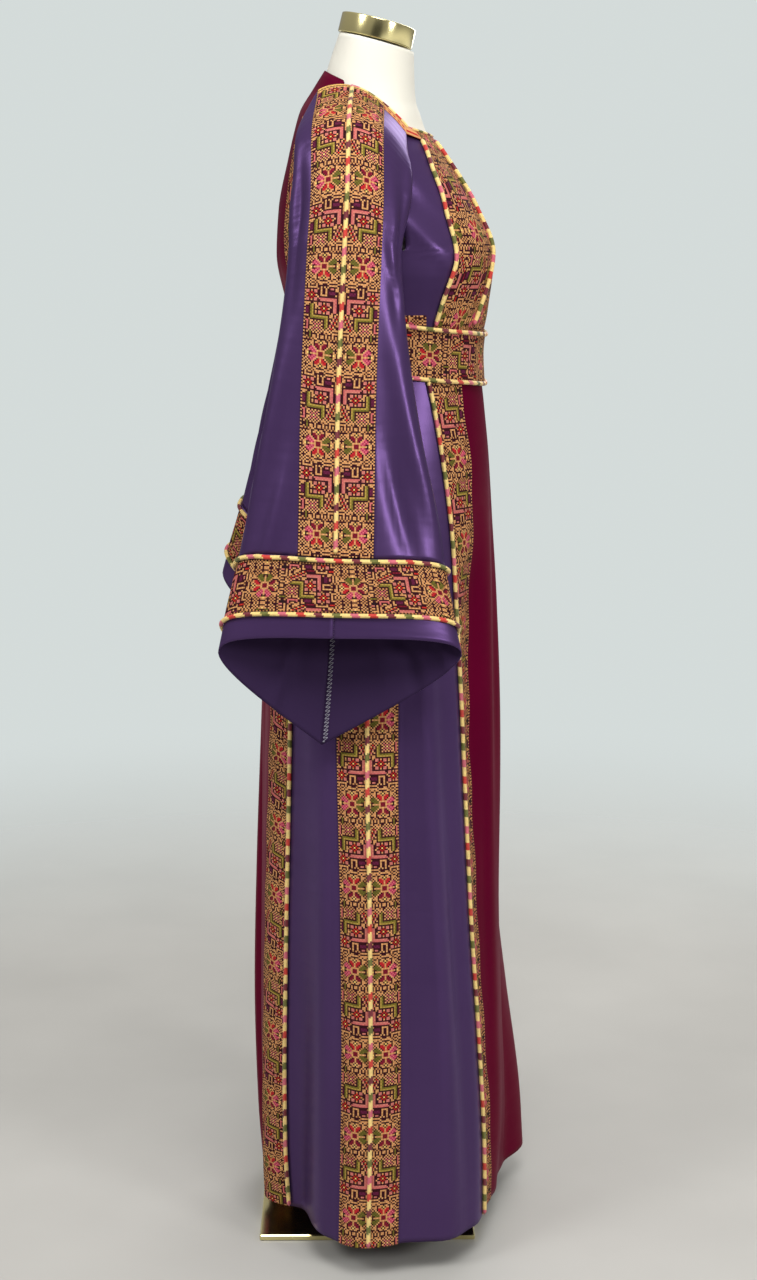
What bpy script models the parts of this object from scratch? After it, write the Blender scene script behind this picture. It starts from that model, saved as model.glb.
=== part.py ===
"""A Palestinian thobe, worn by a limbless dress form on a square base plate.

Metres, +Z up, -Y is the front, +X is the wearer's left. The origin is the middle of the base
plate's underside. The body of the dress is one surface: rows of SECTIONS give its depth and width
at each height, FOLDS add its hanging folds, and every panel is a stretch of that surface between
two seams. Seams are measured in metres along the cloth from the centre front or the centre back.
Each sleeve is a second surface, through the rows of SLEEVE, with its panels measured along the
cloth from the shoulder line. Bands, belt and pipings are made from the same points, moved out.
"""

import math

import bmesh
import bpy
import numpy as np

CLOTH = 0.0015  # thickness of the sewn cloth
GAP = 0.0003  # clear space at every seam
HALF_GAP = GAP / 2
HOLLOW_GAP = 0.0006  # from the front bands' inner seams, which are hollow, to each panel
PIPING_RADIUS = 0.003
EDGING_RADIUS = 0.0016
SEAM_LIFT = CLOTH + 2 * GAP  # from the sewing surface to what lies on the cloth

PLATE_SIDE, PLATE_THICK, PLATE_BEVEL = 0.29, 0.008, 0.0015
POLE_RADIUS = 0.016
CAP_RADIUS, CAP_HEIGHT, CAP_TILT = 0.0485, 0.025, math.radians(14)
CAP_FORWARD, CAP_LOW = 0.0145, 1.5788

HEM, WAIST, ARMPIT = 0.045, 1.18, 1.31
WAIST_GAP = 0.0016  # the waist seam, which the belt hides
BELT_MIDDLE, BELT_TILT, BELT_HALF = 1.1925, 0.017, 0.031
BELT_CLOTH, BELT_LIFT = 0.0022, 0.0038  # the belt's thickness, and how far it stands off

BAND_WIDTH = 0.05  # front and back embroidered bands
SIDE_BAND = 0.04  # each half of the double band on the side seam
SIDE_BAND_TOP = 1.158  # hidden under the belt, like the step in side_edge
FRONT_PANEL = 0.113  # centre front to band at FRONT_PANEL_TOP, along the cloth
FRONT_PANEL_TOP, FRONT_FLARE = 0.9, 0.006  # the panel widens this much for each metre down
BACK_PANEL = 0.098  # centre back to band, along the cloth, up to BACK_PANEL_TOP
BACK_PANEL_TOP, BACK_FLARE = 1.445, 0.4
BACK_BAND_TOP, BACK_BAND_SLANT = 1.478, 0.035  # its inner end, and the drop to its outer end
SIDE_BACK_TOP = 1.424

NECK_FRONT, NECK_RISE, NECK_HALF = 1.457, 0.010, 0.085  # neckline height, and its rise outwards
NECK_CHEST, NECK_SIDE, NECK_END = 0.030, 0.066, 0.081  # where panels meet the front neckline
NECK_BACK, NECK_BACK_DROP = 1.541, 0.025
CHEST_PIPING_TOP = 1.452

# Places down a sleeve are counted in rows of SLEEVE from the neckline.
SLEEVE_BAND = 0.046  # each half of the double band down the sleeve
SLEEVE_BAND_END, CUFF_TOP, CUFF_MIDDLE, CUFF_BOTTOM, SLEEVE_HEM = 7.836, 7.92, 8.27, 8.62, 9.0
CUFF_SEAM = 0.014  # from the end of the sleeve's panels to its hem panels
CUFF_PIPINGS = {"upper": CUFF_TOP - 0.045, "lower": CUFF_BOTTOM + 0.05}
SLEEVE_PIPING_TOP, SLEEVE_PIPING_END = 0.12, CUFF_TOP - 0.16
LEFT_SWING = 0.024, 0.022  # the left sleeve hangs this much further back and up at its hem

# Every panel, band and piping of the body has its corners at these heights, and those of a
# sleeve at these places, so that what lies on a panel follows its facets.
LEVELS = (
    HEM, 0.12, 0.22, 0.34, 0.48, 0.62, 0.76, 0.89, 1.00, 1.08, 1.13, 1.16,
    WAIST, 1.235, 1.29, 1.335, 1.375, 1.41, 1.435, 1.46, 1.487, 1.512,
)
SLEEVE_STEPS = 10  # facets from the underarm seam to the shoulder line
DROPS = tuple(np.linspace(0, SLEEVE_BAND_END, 13))
HEM_DROPS = (SLEEVE_BAND_END + CUFF_SEAM, CUFF_TOP, CUFF_MIDDLE, CUFF_BOTTOM, SLEEVE_HEM)

SIDES = ((-1, "right"), (1, "left"))

MATERIALS = {  # name: (red, green, blue), roughness, metallic
    "purple_satin": ((0.075, 0.038, 0.12), 0.42, 0.0),
    "maroon_crepe": ((0.115, 0.005, 0.03), 0.55, 0.0),
    "embroidery": ((0.36, 0.17, 0.10), 0.8, 0.0),
    "piping": ((0.62, 0.45, 0.17), 0.6, 0.0),
    "form_linen": ((0.84, 0.83, 0.76), 0.85, 0.0),
    "polished_gold": ((0.83, 0.66, 0.27), 0.08, 1.0),
}


def table(columns, *rows):
    """Rows of numbers as one array for each named column."""
    return dict(zip(columns.split(), np.array(rows, float).T))


# forward is positive; side is how far forward the side seam lies; round is 2 for an ellipse,
# more for a squarer section and less for a slimmer one. valley is how far the cloth is drawn in
# at the front band, which hangs nearly edge on between the ridges at its two sides.
SECTIONS = table(
    "height front  back   side  half_front half_back round_front round_back valley",
    (0.045, 0.190, 0.140, 0.000, 0.262, 0.262, 2.10, 1.8, -0.008),
    (0.140, 0.194, 0.145, 0.002, 0.252, 0.252, 2.10, 1.8, -0.012),
    (0.290, 0.188, 0.147, 0.004, 0.240, 0.240, 2.05, 1.8, -0.014),
    (0.475, 0.180, 0.144, 0.003, 0.222, 0.222, 2.00, 1.9, -0.015),
    (0.687, 0.177, 0.139, 0.000, 0.203, 0.203, 2.05, 2.0, -0.022),
    (0.850, 0.172, 0.135, 0.000, 0.190, 0.190, 2.10, 2.1, -0.018),
    (0.960, 0.166, 0.128, 0.004, 0.180, 0.180, 2.20, 2.2, -0.006),
    (1.050, 0.161, 0.117, 0.010, 0.166, 0.166, 2.15, 2.2, 0),
    (1.120, 0.154, 0.105, 0.014, 0.152, 0.152, 2.25, 2.3, 0),
    (1.180, 0.148, 0.098, 0.016, 0.143, 0.143, 2.30, 2.3, 0),
    (1.240, 0.157, 0.102, 0.014, 0.150, 0.150, 2.60, 2.4, 0),
    (1.310, 0.164, 0.115, 0.010, 0.160, 0.160, 2.90, 2.5, 0),
    (1.366, 0.143, 0.112, 0.004, 0.155, 0.165, 2.60, 2.5, 0),
    (1.430, 0.104, 0.099, 0.000, 0.126, 0.170, 2.20, 2.6, 0),
    (1.474, 0.072, 0.088, -0.004, 0.088, 0.170, 2.00, 2.8, 0),
    (1.490, 0.060, 0.083, -0.006, 0.080, 0.150, 2.00, 2.7, 0),
    (1.516, 0.050, 0.068, -0.010, 0.078, 0.080, 2.00, 2.2, 0),
    (1.541, 0.040, 0.052, -0.014, 0.070, 0.060, 2.00, 2.0, 0),
)

# angle is from the centre front in degrees at the hem, left positive, and lean is how much it
# grows per metre upwards. depth is at the hem, ridges positive, and fades to nothing at top.
VALLEY_ANGLE, VALLEY_WIDTH = 37.0, 11.0
FOLDS = table(
    "angle  lean   width depth  top",
    (21.0,  28.0,  14.0, 0.043, 0.80),
    (-14.0, 0.0,   12.0, -0.008, 0.60),
    (56.0,  10.0,  11.0, -0.012, 0.70),
    (-80.0, 0.0,   10.0, -0.007, 0.70),
    (-58.0, 0.0,   10.0, 0.013, 0.85),
    (-119.0, 0.0,  11.0, -0.030, 1.00),
    (119.0, 0.0,   11.0, -0.026, 0.95),
    (-143.0, 0.0,  11.0, 0.012, 1.00),
    (143.0, 0.0,   11.0, 0.013, 1.00),
)

# The sloping seam from neckline to armpit, as distance from the middle at each height.
ARMHOLE_FRONT = table(
    "height across",
    (1.310, 0.1592), (1.350, 0.1557), (1.390, 0.1437), (1.430, 0.1165), (1.466, 0.072),
)
ARMHOLE_BACK = table(
    "height across",
    (1.310, 0.156), (1.360, 0.152), (1.410, 0.144), (1.450, 0.132), (1.484, 0.112), (1.515, 0.075),
)
# Distance along the cloth from the centre front to the two pipings of the chest panel.
CHEST = table(
    "height inner outer",
    (1.180, 0.110, 0.163), (1.250, 0.092, 0.164), (1.310, 0.074, 0.160),
    (1.360, 0.061, 0.146), (1.405, 0.046, 0.120), (1.462, 0.030, 0.066),
)

# One row for each section of the sleeve: its highest or outermost point, its front and back
# edges and its lowest point, each as forward, across, height. Rows 0 to 3 end on the armhole
# seams, at under_height in front and under_back behind, and the others close under the arm.
SLEEVE = table(
    "top_f top_a top_h front_f front_a front_h back_f back_a back_h "
    "under_f under_a under_h under_back",
    (-.018, .0770, 1.517, .038, .0745, 1.481, -.062, .0965, 1.504, 0, 0, 1.465, 1.484),
    (-.020, .125, 1.494, .044, .125, 1.450, -.082, .141, 1.463, 0, 0, 1.430, 1.447),
    (-.022, .172, 1.462, .045, .160, 1.420, -.086, .167, 1.430, 0, 0, 1.390, 1.405),
    (-.023, .205, 1.400, .044, .181, 1.372, -.086, .183, 1.376, 0, 0, 1.348, 1.355),
    (-.026, .219, 1.335, .042, .192, 1.315, -.089, .193, 1.318, -.012, .173, 1.285, 0),
    (-.030, .229, 1.255, .042, .199, 1.245, -.096, .199, 1.255, -.020, .178, 1.215, 0),
    (-.035, .241, 1.140, .058, .210, 1.135, -.113, .210, 1.150, -.030, .183, 1.090, 0),
    (-.037, .257, 1.030, .077, .224, 1.018, -.138, .224, 1.032, -.040, .194, 0.955, 0),
    (-.039, .273, 0.935, .097, .238, 0.915, -.162, .238, 0.925, -.048, .208, 0.820, 0),
    (-.041, .286, 0.852, .116, .252, 0.825, -.183, .252, 0.829, -.057, .224, 0.705, 0),
)

# The dress form, as SECTIONS; lean is how far each ring drops per metre forward.
FORM = table(
    "height front  back   half  round lean",
    (0.900, 0.120, 0.092, 0.132, 2.2, 0.0),
    (1.000, 0.136, 0.104, 0.150, 2.2, 0.0),
    (1.100, 0.132, 0.092, 0.143, 2.2, 0.0),
    (1.180, 0.126, 0.080, 0.130, 2.2, 0.0),
    (1.250, 0.141, 0.086, 0.138, 2.2, 0.0),
    (1.310, 0.154, 0.103, 0.147, 2.3, 0.0),
    (1.366, 0.133, 0.100, 0.144, 2.1, 0.0),
    (1.410, 0.109, 0.093, 0.136, 1.7, 0.0),
    (1.440, 0.092, 0.086, 0.124, 1.5, 0.0),
    (1.465, 0.078, 0.079, 0.100, 1.5, 0.0),
    (1.485, 0.071, 0.071, 0.076, 1.7, 0.0),
    (1.505, 0.065, 0.059, 0.060, 1.9, 0.05),
    (1.530, 0.063, 0.051, 0.053, 2.0, 0.12),
    (1.576, 0.062, 0.034, 0.048, 2.0, 0.249),
)


def read(rows, column, at, key="height"):
    """A column at any place of the key column, on a smooth curve through the rows."""
    places, values = rows[key], rows[column]
    steps = np.diff(places)
    slopes = np.diff(values) / steps
    bend = slopes[:-1] * slopes[1:] > 0
    inner = np.where(bend, 2 * slopes[:-1] * slopes[1:] / (slopes[:-1] + slopes[1:] + ~bend), 0)
    tangents = np.concatenate([slopes[:1], inner, slopes[-1:]])
    at = np.clip(at, places[0], places[-1])
    row = np.clip(np.searchsorted(places, at) - 1, 0, len(steps) - 1)
    t = (at - places[row]) / steps[row]
    return (
        values[row] * (1 + 2 * t) * (1 - t) ** 2
        + values[row + 1] * t**2 * (3 - 2 * t)
        + steps[row] * t * (1 - t) * (tangents[row] * (1 - t) - tangents[row + 1] * t)
    )


# ---- the surface of the body of the dress


def section(height, side, angle):
    """Forward and across at an angle from the centre front: a superellipse, plus the folds."""
    ahead = np.cos(angle) >= 0
    axis = read(SECTIONS, "side", height)
    front = read(SECTIONS, "front", height) - axis
    back = read(SECTIONS, "back", height) + axis
    depth = np.where(ahead, front, back)
    half_front = read(SECTIONS, "half_front", height)
    half = np.where(ahead, half_front, read(SECTIONS, "half_back", height))
    round_front = read(SECTIONS, "round_front", height)
    power = np.where(ahead, round_front, read(SECTIONS, "round_back", height))
    cosine, sine = np.abs(np.cos(angle)), np.abs(np.sin(angle))
    radius = ((cosine / depth) ** power + (sine / half) ** power) ** (-1 / power)
    for place, lean, width, fold, top in zip(*FOLDS.values()):
        reach = np.clip((top - height) / (top - HEM), 0, 1) ** 1.4
        away = (side * np.degrees(angle) - place - lean * (height - HEM)) / width
        radius = radius + fold * reach * np.exp(-away * away)
    away = (np.abs(np.degrees(angle)) - VALLEY_ANGLE) / VALLEY_WIDTH
    radius = radius + read(SECTIONS, "valley", height) * np.exp(-away * away)
    return axis + radius * np.cos(angle), radius * np.sin(angle)


FINE = np.radians(np.linspace(0, 180, 721))
SIDE_SEAM = 360  # the index of 90 degrees in FINE


def lengths(height, side):
    """A section's forward, across and distance along the cloth at every angle of FINE."""
    forward, across = section(height, side, FINE)
    steps = np.hypot(np.diff(forward), np.diff(across))
    return forward, across, np.concatenate([[0.0], np.cumsum(steps)])


def body_point(height, side, length, behind):
    """The point at this distance along the cloth from the centre front, or the centre back."""
    forward, across, run = lengths(height, side)
    if behind:
        length = run[-1] - length
    return [side * np.interp(length, run, across), -np.interp(length, run, forward), height]


def side_length(height, side, behind):
    run = lengths(height, side)[2]
    return run[-1] - run[SIDE_SEAM] if behind else run[SIDE_SEAM]


def armhole_length(height, side, behind):
    """Distance along the cloth from the centre to the armhole seam at this height."""
    forward, across, run = lengths(height, side)
    seam = read(ARMHOLE_BACK if behind else ARMHOLE_FRONT, "across", height)
    if behind:
        beyond = SIDE_SEAM + 1
        return run[-1] - np.interp(-seam, -across[beyond:], run[beyond:])
    return np.interp(seam, across[: SIDE_SEAM + 1], run[: SIDE_SEAM + 1])


def front_neck(length):
    """The front neckline's height at this distance along the cloth from the centre front."""
    return NECK_FRONT + NECK_RISE * (length / NECK_HALF) ** 2


def back_neck(share):
    """The back neckline's height at this share of the way from the centre to the back band."""
    return NECK_BACK - NECK_BACK_DROP * share**2


def body_normal(height, side, length, behind):
    """The direction straight out of the cloth at this point."""
    step = 0.002
    here = [np.array(body_point(height, side, length + d, behind)) for d in (-step, step)]
    above = [np.array(body_point(height + d, side, length, behind)) for d in (-step, step)]
    normal = np.cross(here[1] - here[0], above[1] - above[0])
    normal *= side * (-1 if behind else 1)
    return normal / np.linalg.norm(normal)


def lifted(height, side, length, behind, lift):
    """A point of the body moved straight out by lift."""
    point = np.array(body_point(height, side, length, behind))
    return point + lift * body_normal(height, side, length, behind)


# ---- the surface of a sleeve


def spline(points, at):
    """A smooth curve through the points, read at places counted in points from 0."""
    count = len(points)
    system = np.zeros((count, count))
    right = np.zeros((count, 3))
    for i in range(1, count - 1):
        system[i, i - 1 : i + 2] = 1, 4, 1
        right[i] = 3 * (points[i + 1] - points[i - 1])
    system[0, :2], right[0] = (2, 1), 3 * (points[1] - points[0])
    system[-1, -2:], right[-1] = (1, 2), 3 * (points[-1] - points[-2])
    slopes = np.linalg.solve(system, right)
    row = np.clip(np.floor(at).astype(int), 0, count - 2)
    t = (at - row)[:, None]
    return (
        points[row] * (1 + 2 * t) * (1 - t) ** 2
        + points[row + 1] * t**2 * (3 - 2 * t)
        + slopes[row] * t * (1 - t) ** 2
        - slopes[row + 1] * t**2 * (1 - t)
    )


LAP = CLOTH + 6 * GAP  # the sleeve's edge lies on the bodice at the armhole
ROWS, PIT = len(SLEEVE["top_f"]), 4  # row PIT is where the two armhole seams have met


def sleeve_corners(row, side):
    """The five points of one row of SLEEVE, from the front seam over the top to the back seam."""
    share = (row / (ROWS - 1)) ** 2 if side > 0 else 0
    back, up = (share * swing for swing in LEFT_SWING)

    def corner(name):
        forward, across, height = (SLEEVE[f"{name}_{axis}"][row] for axis in "fah")
        return [side * across, back - forward, height + up]

    if row >= PIT:
        seams = [corner("under"), corner("under")]
    else:
        seams = [
            lifted(height, side, armhole_length(height, side, behind), behind, LAP)
            for height, behind in (
                (SLEEVE["under_h"][row], False), (SLEEVE["under_back"][row], True)
            )
        ]
    return np.array([seams[0], corner("front"), corner("top"), corner("back"), seams[1]])


SLEEVE_CORNERS = {
    side: np.array([sleeve_corners(row, side) for row in range(ROWS)]) for side in (-1, 1)
}
ROUND = np.linspace(0, 4, 161)  # places along a section, counted in corners
SHOULDER_LINE = 2.0  # the place of the top corner


def sleeve_section(drop, side):
    """Points round the sleeve at a place counted in rows from the neckline, and their lengths."""
    corners = SLEEVE_CORNERS[side]
    here = [spline(corners[:, i], np.array([float(drop)]))[0] for i in (1, 2, 3)]
    seams = (corners[PIT:], drop - PIT) if drop >= PIT else (corners[: PIT + 1], drop)
    ends = [spline(seams[0][:, i], np.array([float(seams[1])]))[0] for i in (0, 4)]
    here = np.array([ends[0], *here, ends[1]])
    points = spline(here, ROUND)
    steps = np.linalg.norm(np.diff(points, axis=0), axis=1)
    return points, np.concatenate([[0.0], np.cumsum(steps)])


def sleeve_place(drop, side, length):
    """Where this distance along the cloth from the shoulder line, the front negative, is in ROUND."""
    run = sleeve_section(drop, side)[1]
    return np.interp(run[len(ROUND) // 2] + length, run, ROUND)


def sleeve_point(drop, side, place):
    points = sleeve_section(drop, side)[0]
    return np.array([np.interp(place, ROUND, points[:, i]) for i in range(3)])


def sleeve_normal(drop, side, place):
    """The direction straight out of the sleeve at this point."""
    step = 0.03
    here = [sleeve_point(drop, side, np.clip(place + d, 0, ROUND[-1])) for d in (-step, step)]
    below = [sleeve_point(np.clip(drop + d, 0, SLEEVE_HEM), side, place) for d in (-step, step)]
    normal = np.cross(below[1] - below[0], here[1] - here[0]) * side
    return normal / np.linalg.norm(normal)


# ---- Blender objects

for old in list(bpy.data.objects):
    bpy.data.objects.remove(old, do_unlink=True)
COLLECTION = bpy.data.collections.new("thobe_on_dress_form")
bpy.context.scene.collection.children.link(COLLECTION)


def material(name):
    found = bpy.data.materials.get(name)
    if found:
        return found
    colour, roughness, metallic = MATERIALS[name]
    made = bpy.data.materials.new(name)
    made.use_nodes = True
    shader = made.node_tree.nodes["Principled BSDF"]
    shader.inputs["Base Color"].default_value = (*colour, 1)
    shader.inputs["Roughness"].default_value = roughness
    shader.inputs["Metallic"].default_value = metallic
    return made


def add(name, data, finish):
    made = bpy.data.objects.new(name, data)
    data.materials.append(material(finish))
    COLLECTION.objects.link(made)
    return made


def surface(name, rows, finish, wrap=False, flip=False):
    """An open sheet of quads through rows of points."""
    rows = np.array(rows, float)
    down, across = rows.shape[:2]
    corner = np.arange(down * across).reshape(down, across)
    following = np.roll(corner, -1, axis=1) if wrap else corner[:, 1:]
    first = corner if wrap else corner[:, :-1]
    quads = np.stack([first[:-1], following[:-1], following[1:], first[1:]], axis=-1)
    quads = quads.reshape(-1, 4)
    mesh = bpy.data.meshes.new(name)
    mesh.from_pydata(rows.reshape(-1, 3), [], (quads[:, ::-1] if flip else quads).tolist())
    mesh.shade_smooth()
    return add(name, mesh, finish)


def cloth(name, rows, finish, thickness=CLOTH, wrap=False, flip=False):
    """A sheet thickened outwards into a wall."""
    made = surface(name, rows, finish, wrap, flip)
    solid = made.modifiers.new("Cloth", "SOLIDIFY")
    solid.thickness = thickness
    solid.offset = 1
    return made


def cord(name, points, radius, finish="piping", cyclic=False):
    """A round cord along the points."""
    curve = bpy.data.curves.new(name, "CURVE")
    curve.dimensions = "3D"
    run = curve.splines.new("POLY")
    run.points.add(len(points) - 1)
    for place, point in zip(run.points, points):
        place.co = (*point, 1)
    run.use_cyclic_u = cyclic
    curve.bevel_depth = radius
    curve.bevel_resolution = 0
    curve.use_fill_caps = not cyclic
    return add(name, curve, finish)


# ---- panels of the body

# No level is used closer than this to a panel's lower edge, its upper edge or a piping's end.
LOW_CLEAR, HIGH_CLEAR, END_CLEAR = 0.004, 0.009, 0.012


def levels_between(low, high, shares):
    """Rows of heights, one height for each share: low, the LEVELS above it, and high.

    low is a height and high is a function of the share, for a panel whose top edge slopes.
    """
    top = [high(share) for share in shares]
    inner = [level for level in LEVELS if low + LOW_CLEAR < level < min(top) - HIGH_CLEAR]
    return [[level] * len(shares) for level in (low, *inner)] + [top]


def body_panel(name, finish, side, behind, inner, outer, low, high, steps):
    """The cloth between two seams, from low to high. Each seam is a function of the height."""
    rows = []
    shares = np.linspace(0, 1, steps + 1)
    for heights in levels_between(low, high, shares):
        row = []
        for share, height in zip(shares, heights):
            start, end = inner(height), outer(height)
            row.append(body_point(height, side, start + share * (end - start), behind))
        rows.append(row)
    return cloth(name, rows, finish, flip=(side < 0) != behind)


def centre_panel(name, finish, behind, outer, low, high, steps):
    """A panel that crosses the centre, right edge to left edge."""
    rows = []
    shares = np.linspace(-1, 1, 2 * steps + 1)
    for heights in levels_between(low, lambda share: high(abs(share)), shares):
        row = []
        for share, height in zip(shares, heights):
            side = -1 if share < 0 else 1
            row.append(body_point(height, side, abs(share) * outer(height, side), behind))
        rows.append(row)
    return cloth(name, rows, finish, flip=behind)


def level(height):
    return lambda share: height


def chest(column):
    return lambda height: read(CHEST, column, height)


def front_band_edge(height):
    """Distance along the cloth from the centre front to the front band."""
    return FRONT_PANEL + FRONT_FLARE * max(0.0, FRONT_PANEL_TOP - height)


def back_band_edge(height):
    """Distance along the cloth from the centre back to the back band."""
    return BACK_PANEL + BACK_FLARE * max(0.0, height - BACK_PANEL_TOP)


def within_armhole(length, height, side):
    """A distance from the centre back, or that of the armhole seam where it is less."""
    return min(length, armhole_length(height, side, True)) if height > ARMPIT else length


def side_edge(side, behind):
    """Where the side panel ends: at the side band on the skirt and at the side seam above it."""
    step = (SIDE_BAND_TOP + 0.003, WAIST - 0.005)

    def edge(height):
        if height > ARMPIT:
            return armhole_length(height, side, behind)
        band = np.interp(height, step, (SIDE_BAND, 0.0))
        return side_length(height, side, behind) - band - HALF_GAP

    return edge


def make_front():
    """The chest, the sides of the bodice and, below the waist seam, the front of the skirt."""
    bodice_low, skirt_high = WAIST + WAIST_GAP / 2, level(WAIST - WAIST_GAP / 2)
    centre_panel(
        "chest_centre", "embroidery", False,
        lambda height, side: chest("inner")(height) - HALF_GAP,
        bodice_low, lambda share: front_neck(share * NECK_CHEST), 3,
    )
    centre_panel(
        "skirt_centre_front", "maroon_crepe", False,
        lambda height, side: front_band_edge(height) - HOLLOW_GAP, HEM, skirt_high, 4,
    )
    for side, end in SIDES:
        body_panel(
            f"chest_side_{end}", "embroidery", side, False,
            lambda height: chest("inner")(height) + HALF_GAP,
            lambda height: chest("outer")(height) - HALF_GAP,
            bodice_low, lambda share: front_neck(np.interp(share, (0, 1), (NECK_CHEST, NECK_SIDE))), 3,
        )
        body_panel(
            f"bodice_side_front_{end}", "purple_satin", side, False,
            lambda height: chest("outer")(height) + HALF_GAP, side_edge(side, False),
            bodice_low, lambda share: front_neck(np.interp(share, (0, 1), (NECK_SIDE, NECK_END))), 3,
        )
        body_panel(
            f"skirt_front_band_{end}", "embroidery", side, False,
            lambda height: front_band_edge(height) + HOLLOW_GAP,
            lambda height: front_band_edge(height) + BAND_WIDTH - GAP, HEM, skirt_high, 3,
        )
        body_panel(
            f"skirt_side_front_{end}", "purple_satin", side, False,
            lambda height: front_band_edge(height) + BAND_WIDTH + GAP,
            side_edge(side, False), HEM, skirt_high, 4,
        )


def make_side_bands():
    """The double bands down the side seams of the skirt."""
    for side, end in SIDES:
        for behind, which in ((False, "front"), (True, "back")):
            body_panel(
                f"skirt_side_band_{which}_{end}", "embroidery", side, behind,
                lambda height: side_length(height, side, behind) - SIDE_BAND + HALF_GAP,
                lambda height: side_length(height, side, behind) - HALF_GAP,
                HEM, level(SIDE_BAND_TOP), 1,
            )


def make_back():
    """The back, whose panels run in one piece from the yoke to the hem."""
    centre_panel(
        "back_centre", "maroon_crepe", True,
        lambda height, side: within_armhole(back_band_edge(height), height, side) - HALF_GAP,
        HEM, back_neck, 3,
    )
    for side, end in SIDES:
        body_panel(
            f"back_band_{end}", "embroidery", side, True,
            lambda height: back_band_edge(height) + HALF_GAP,
            lambda height: within_armhole(back_band_edge(height) + BAND_WIDTH, height, side) - HALF_GAP,
            HEM, lambda share: BACK_BAND_TOP - BACK_BAND_SLANT * share, 2,
        )
        body_panel(
            f"side_back_{end}", "purple_satin", side, True,
            lambda height: back_band_edge(height) + BAND_WIDTH + HALF_GAP,
            side_edge(side, True), HEM, level(SIDE_BACK_TOP), 4,
        )


# ---- pipings, belt and neck edging on the body


def seam_cord(name, side, behind, length, low, high):
    """A piping over a seam of the body, whose place along the cloth is a function of the height."""
    lift = SEAM_LIFT + PIPING_RADIUS
    inner = [height for height in LEVELS if low + END_CLEAR < height < high - END_CLEAR]
    points = [lifted(h, side, length(h), behind, lift) for h in (low, *inner, high)]
    cord(name, points, PIPING_RADIUS)


def belt_height(angle):
    """The belt's middle: lower in front than at the sides and back."""
    return BELT_MIDDLE - BELT_TILT * max(0.0, math.cos(angle)) ** 1.5


def belt_ring(offset, lift, count=40):
    """Points round the waist at this offset above the belt's middle, moved out by lift."""
    ring = []
    for turn in np.linspace(0, 2 * math.pi, count, endpoint=False):
        side = 1 if turn <= math.pi else -1
        angle = turn if side > 0 else 2 * math.pi - turn
        height = belt_height(angle) + offset
        length = np.interp(angle, FINE, lengths(height, side)[2])
        ring.append(lifted(height, side, length, False, lift))
    return ring


BELT_EDGE = BELT_HALF + PIPING_RADIUS + GAP  # from the belt's middle to its pipings
BELT_CLEAR = BELT_EDGE + 2 * PIPING_RADIUS  # to the ends of the pipings that meet it


def make_belt():
    rows = [belt_ring(offset, BELT_LIFT) for offset in (-BELT_HALF, BELT_HALF)]
    cloth("belt", rows, "embroidery", BELT_CLOTH, wrap=True)
    for name, offset in (("belt_piping_upper", BELT_EDGE), ("belt_piping_lower", -BELT_EDGE)):
        cord(name, belt_ring(offset, BELT_LIFT + PIPING_RADIUS), PIPING_RADIUS, cyclic=True)


def make_seam_pipings():
    above, below = BELT_MIDDLE + BELT_CLEAR, BELT_MIDDLE - BELT_TILT - BELT_CLEAR
    for side, end in SIDES:
        for which in ("inner", "outer"):
            name = f"chest_piping_{which}_{end}"
            seam_cord(name, side, False, chest(which), above, CHEST_PIPING_TOP)
        seam_cord(
            f"front_band_piping_{end}", side, False,
            lambda height: front_band_edge(height) + BAND_WIDTH, HEM, below,
        )
        seam_cord(
            f"side_piping_{end}", side, False,
            lambda height: side_length(height, side, False), HEM, below,
        )
        seam_cord(
            f"back_band_piping_{end}", side, True,
            lambda height: back_band_edge(height) + BAND_WIDTH, HEM, below,
        )


def make_neck_edging():
    """A fine cord along the front of the neckline, from one shoulder point to the other."""
    rise = EDGING_RADIUS + 2 * GAP
    half_neck = []
    for length in np.linspace(0, NECK_END - 2 * PIPING_RADIUS, 6):
        point = lifted(front_neck(length), 1, length, False, CLOTH / 2)
        half_neck.append(point + np.array([0, 0, rise]))
    for place in np.linspace(0.35, SHOULDER_LINE, 5):
        point = sleeve_point(0, 1, place)
        half_neck.append(point + np.array([-1.6 * rise, 0, 1.2 * rise]))
    points = np.array(half_neck)
    mirrored = points[:0:-1] * np.array([-1, 1, 1])
    cord("neck_edging", np.concatenate([mirrored, points]), EDGING_RADIUS)


# ---- panels of a sleeve


def sleeve_panel(name, finish, side, start, end, drops, steps):
    """The cloth between two places round the sleeve, each a function of the drop."""
    rows = []
    for drop in drops:
        places = np.linspace(start(drop), end(drop), steps + 1)
        rows.append([sleeve_point(drop, side, place) for place in places])
    return cloth(name, rows, finish, flip=side > 0)


def sleeve_lifted(drop, side, place, lift):
    """A point of the sleeve moved straight out by lift."""
    return sleeve_point(drop, side, place) + lift * sleeve_normal(drop, side, place)


def sleeve_ring(drop, side, lift):
    """Points all round the sleeve at this drop, moved out by lift."""
    places = np.linspace(0, ROUND[-1], 2 * SLEEVE_STEPS, endpoint=False)
    return [sleeve_lifted(drop, side, place, lift) for place in places]


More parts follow.
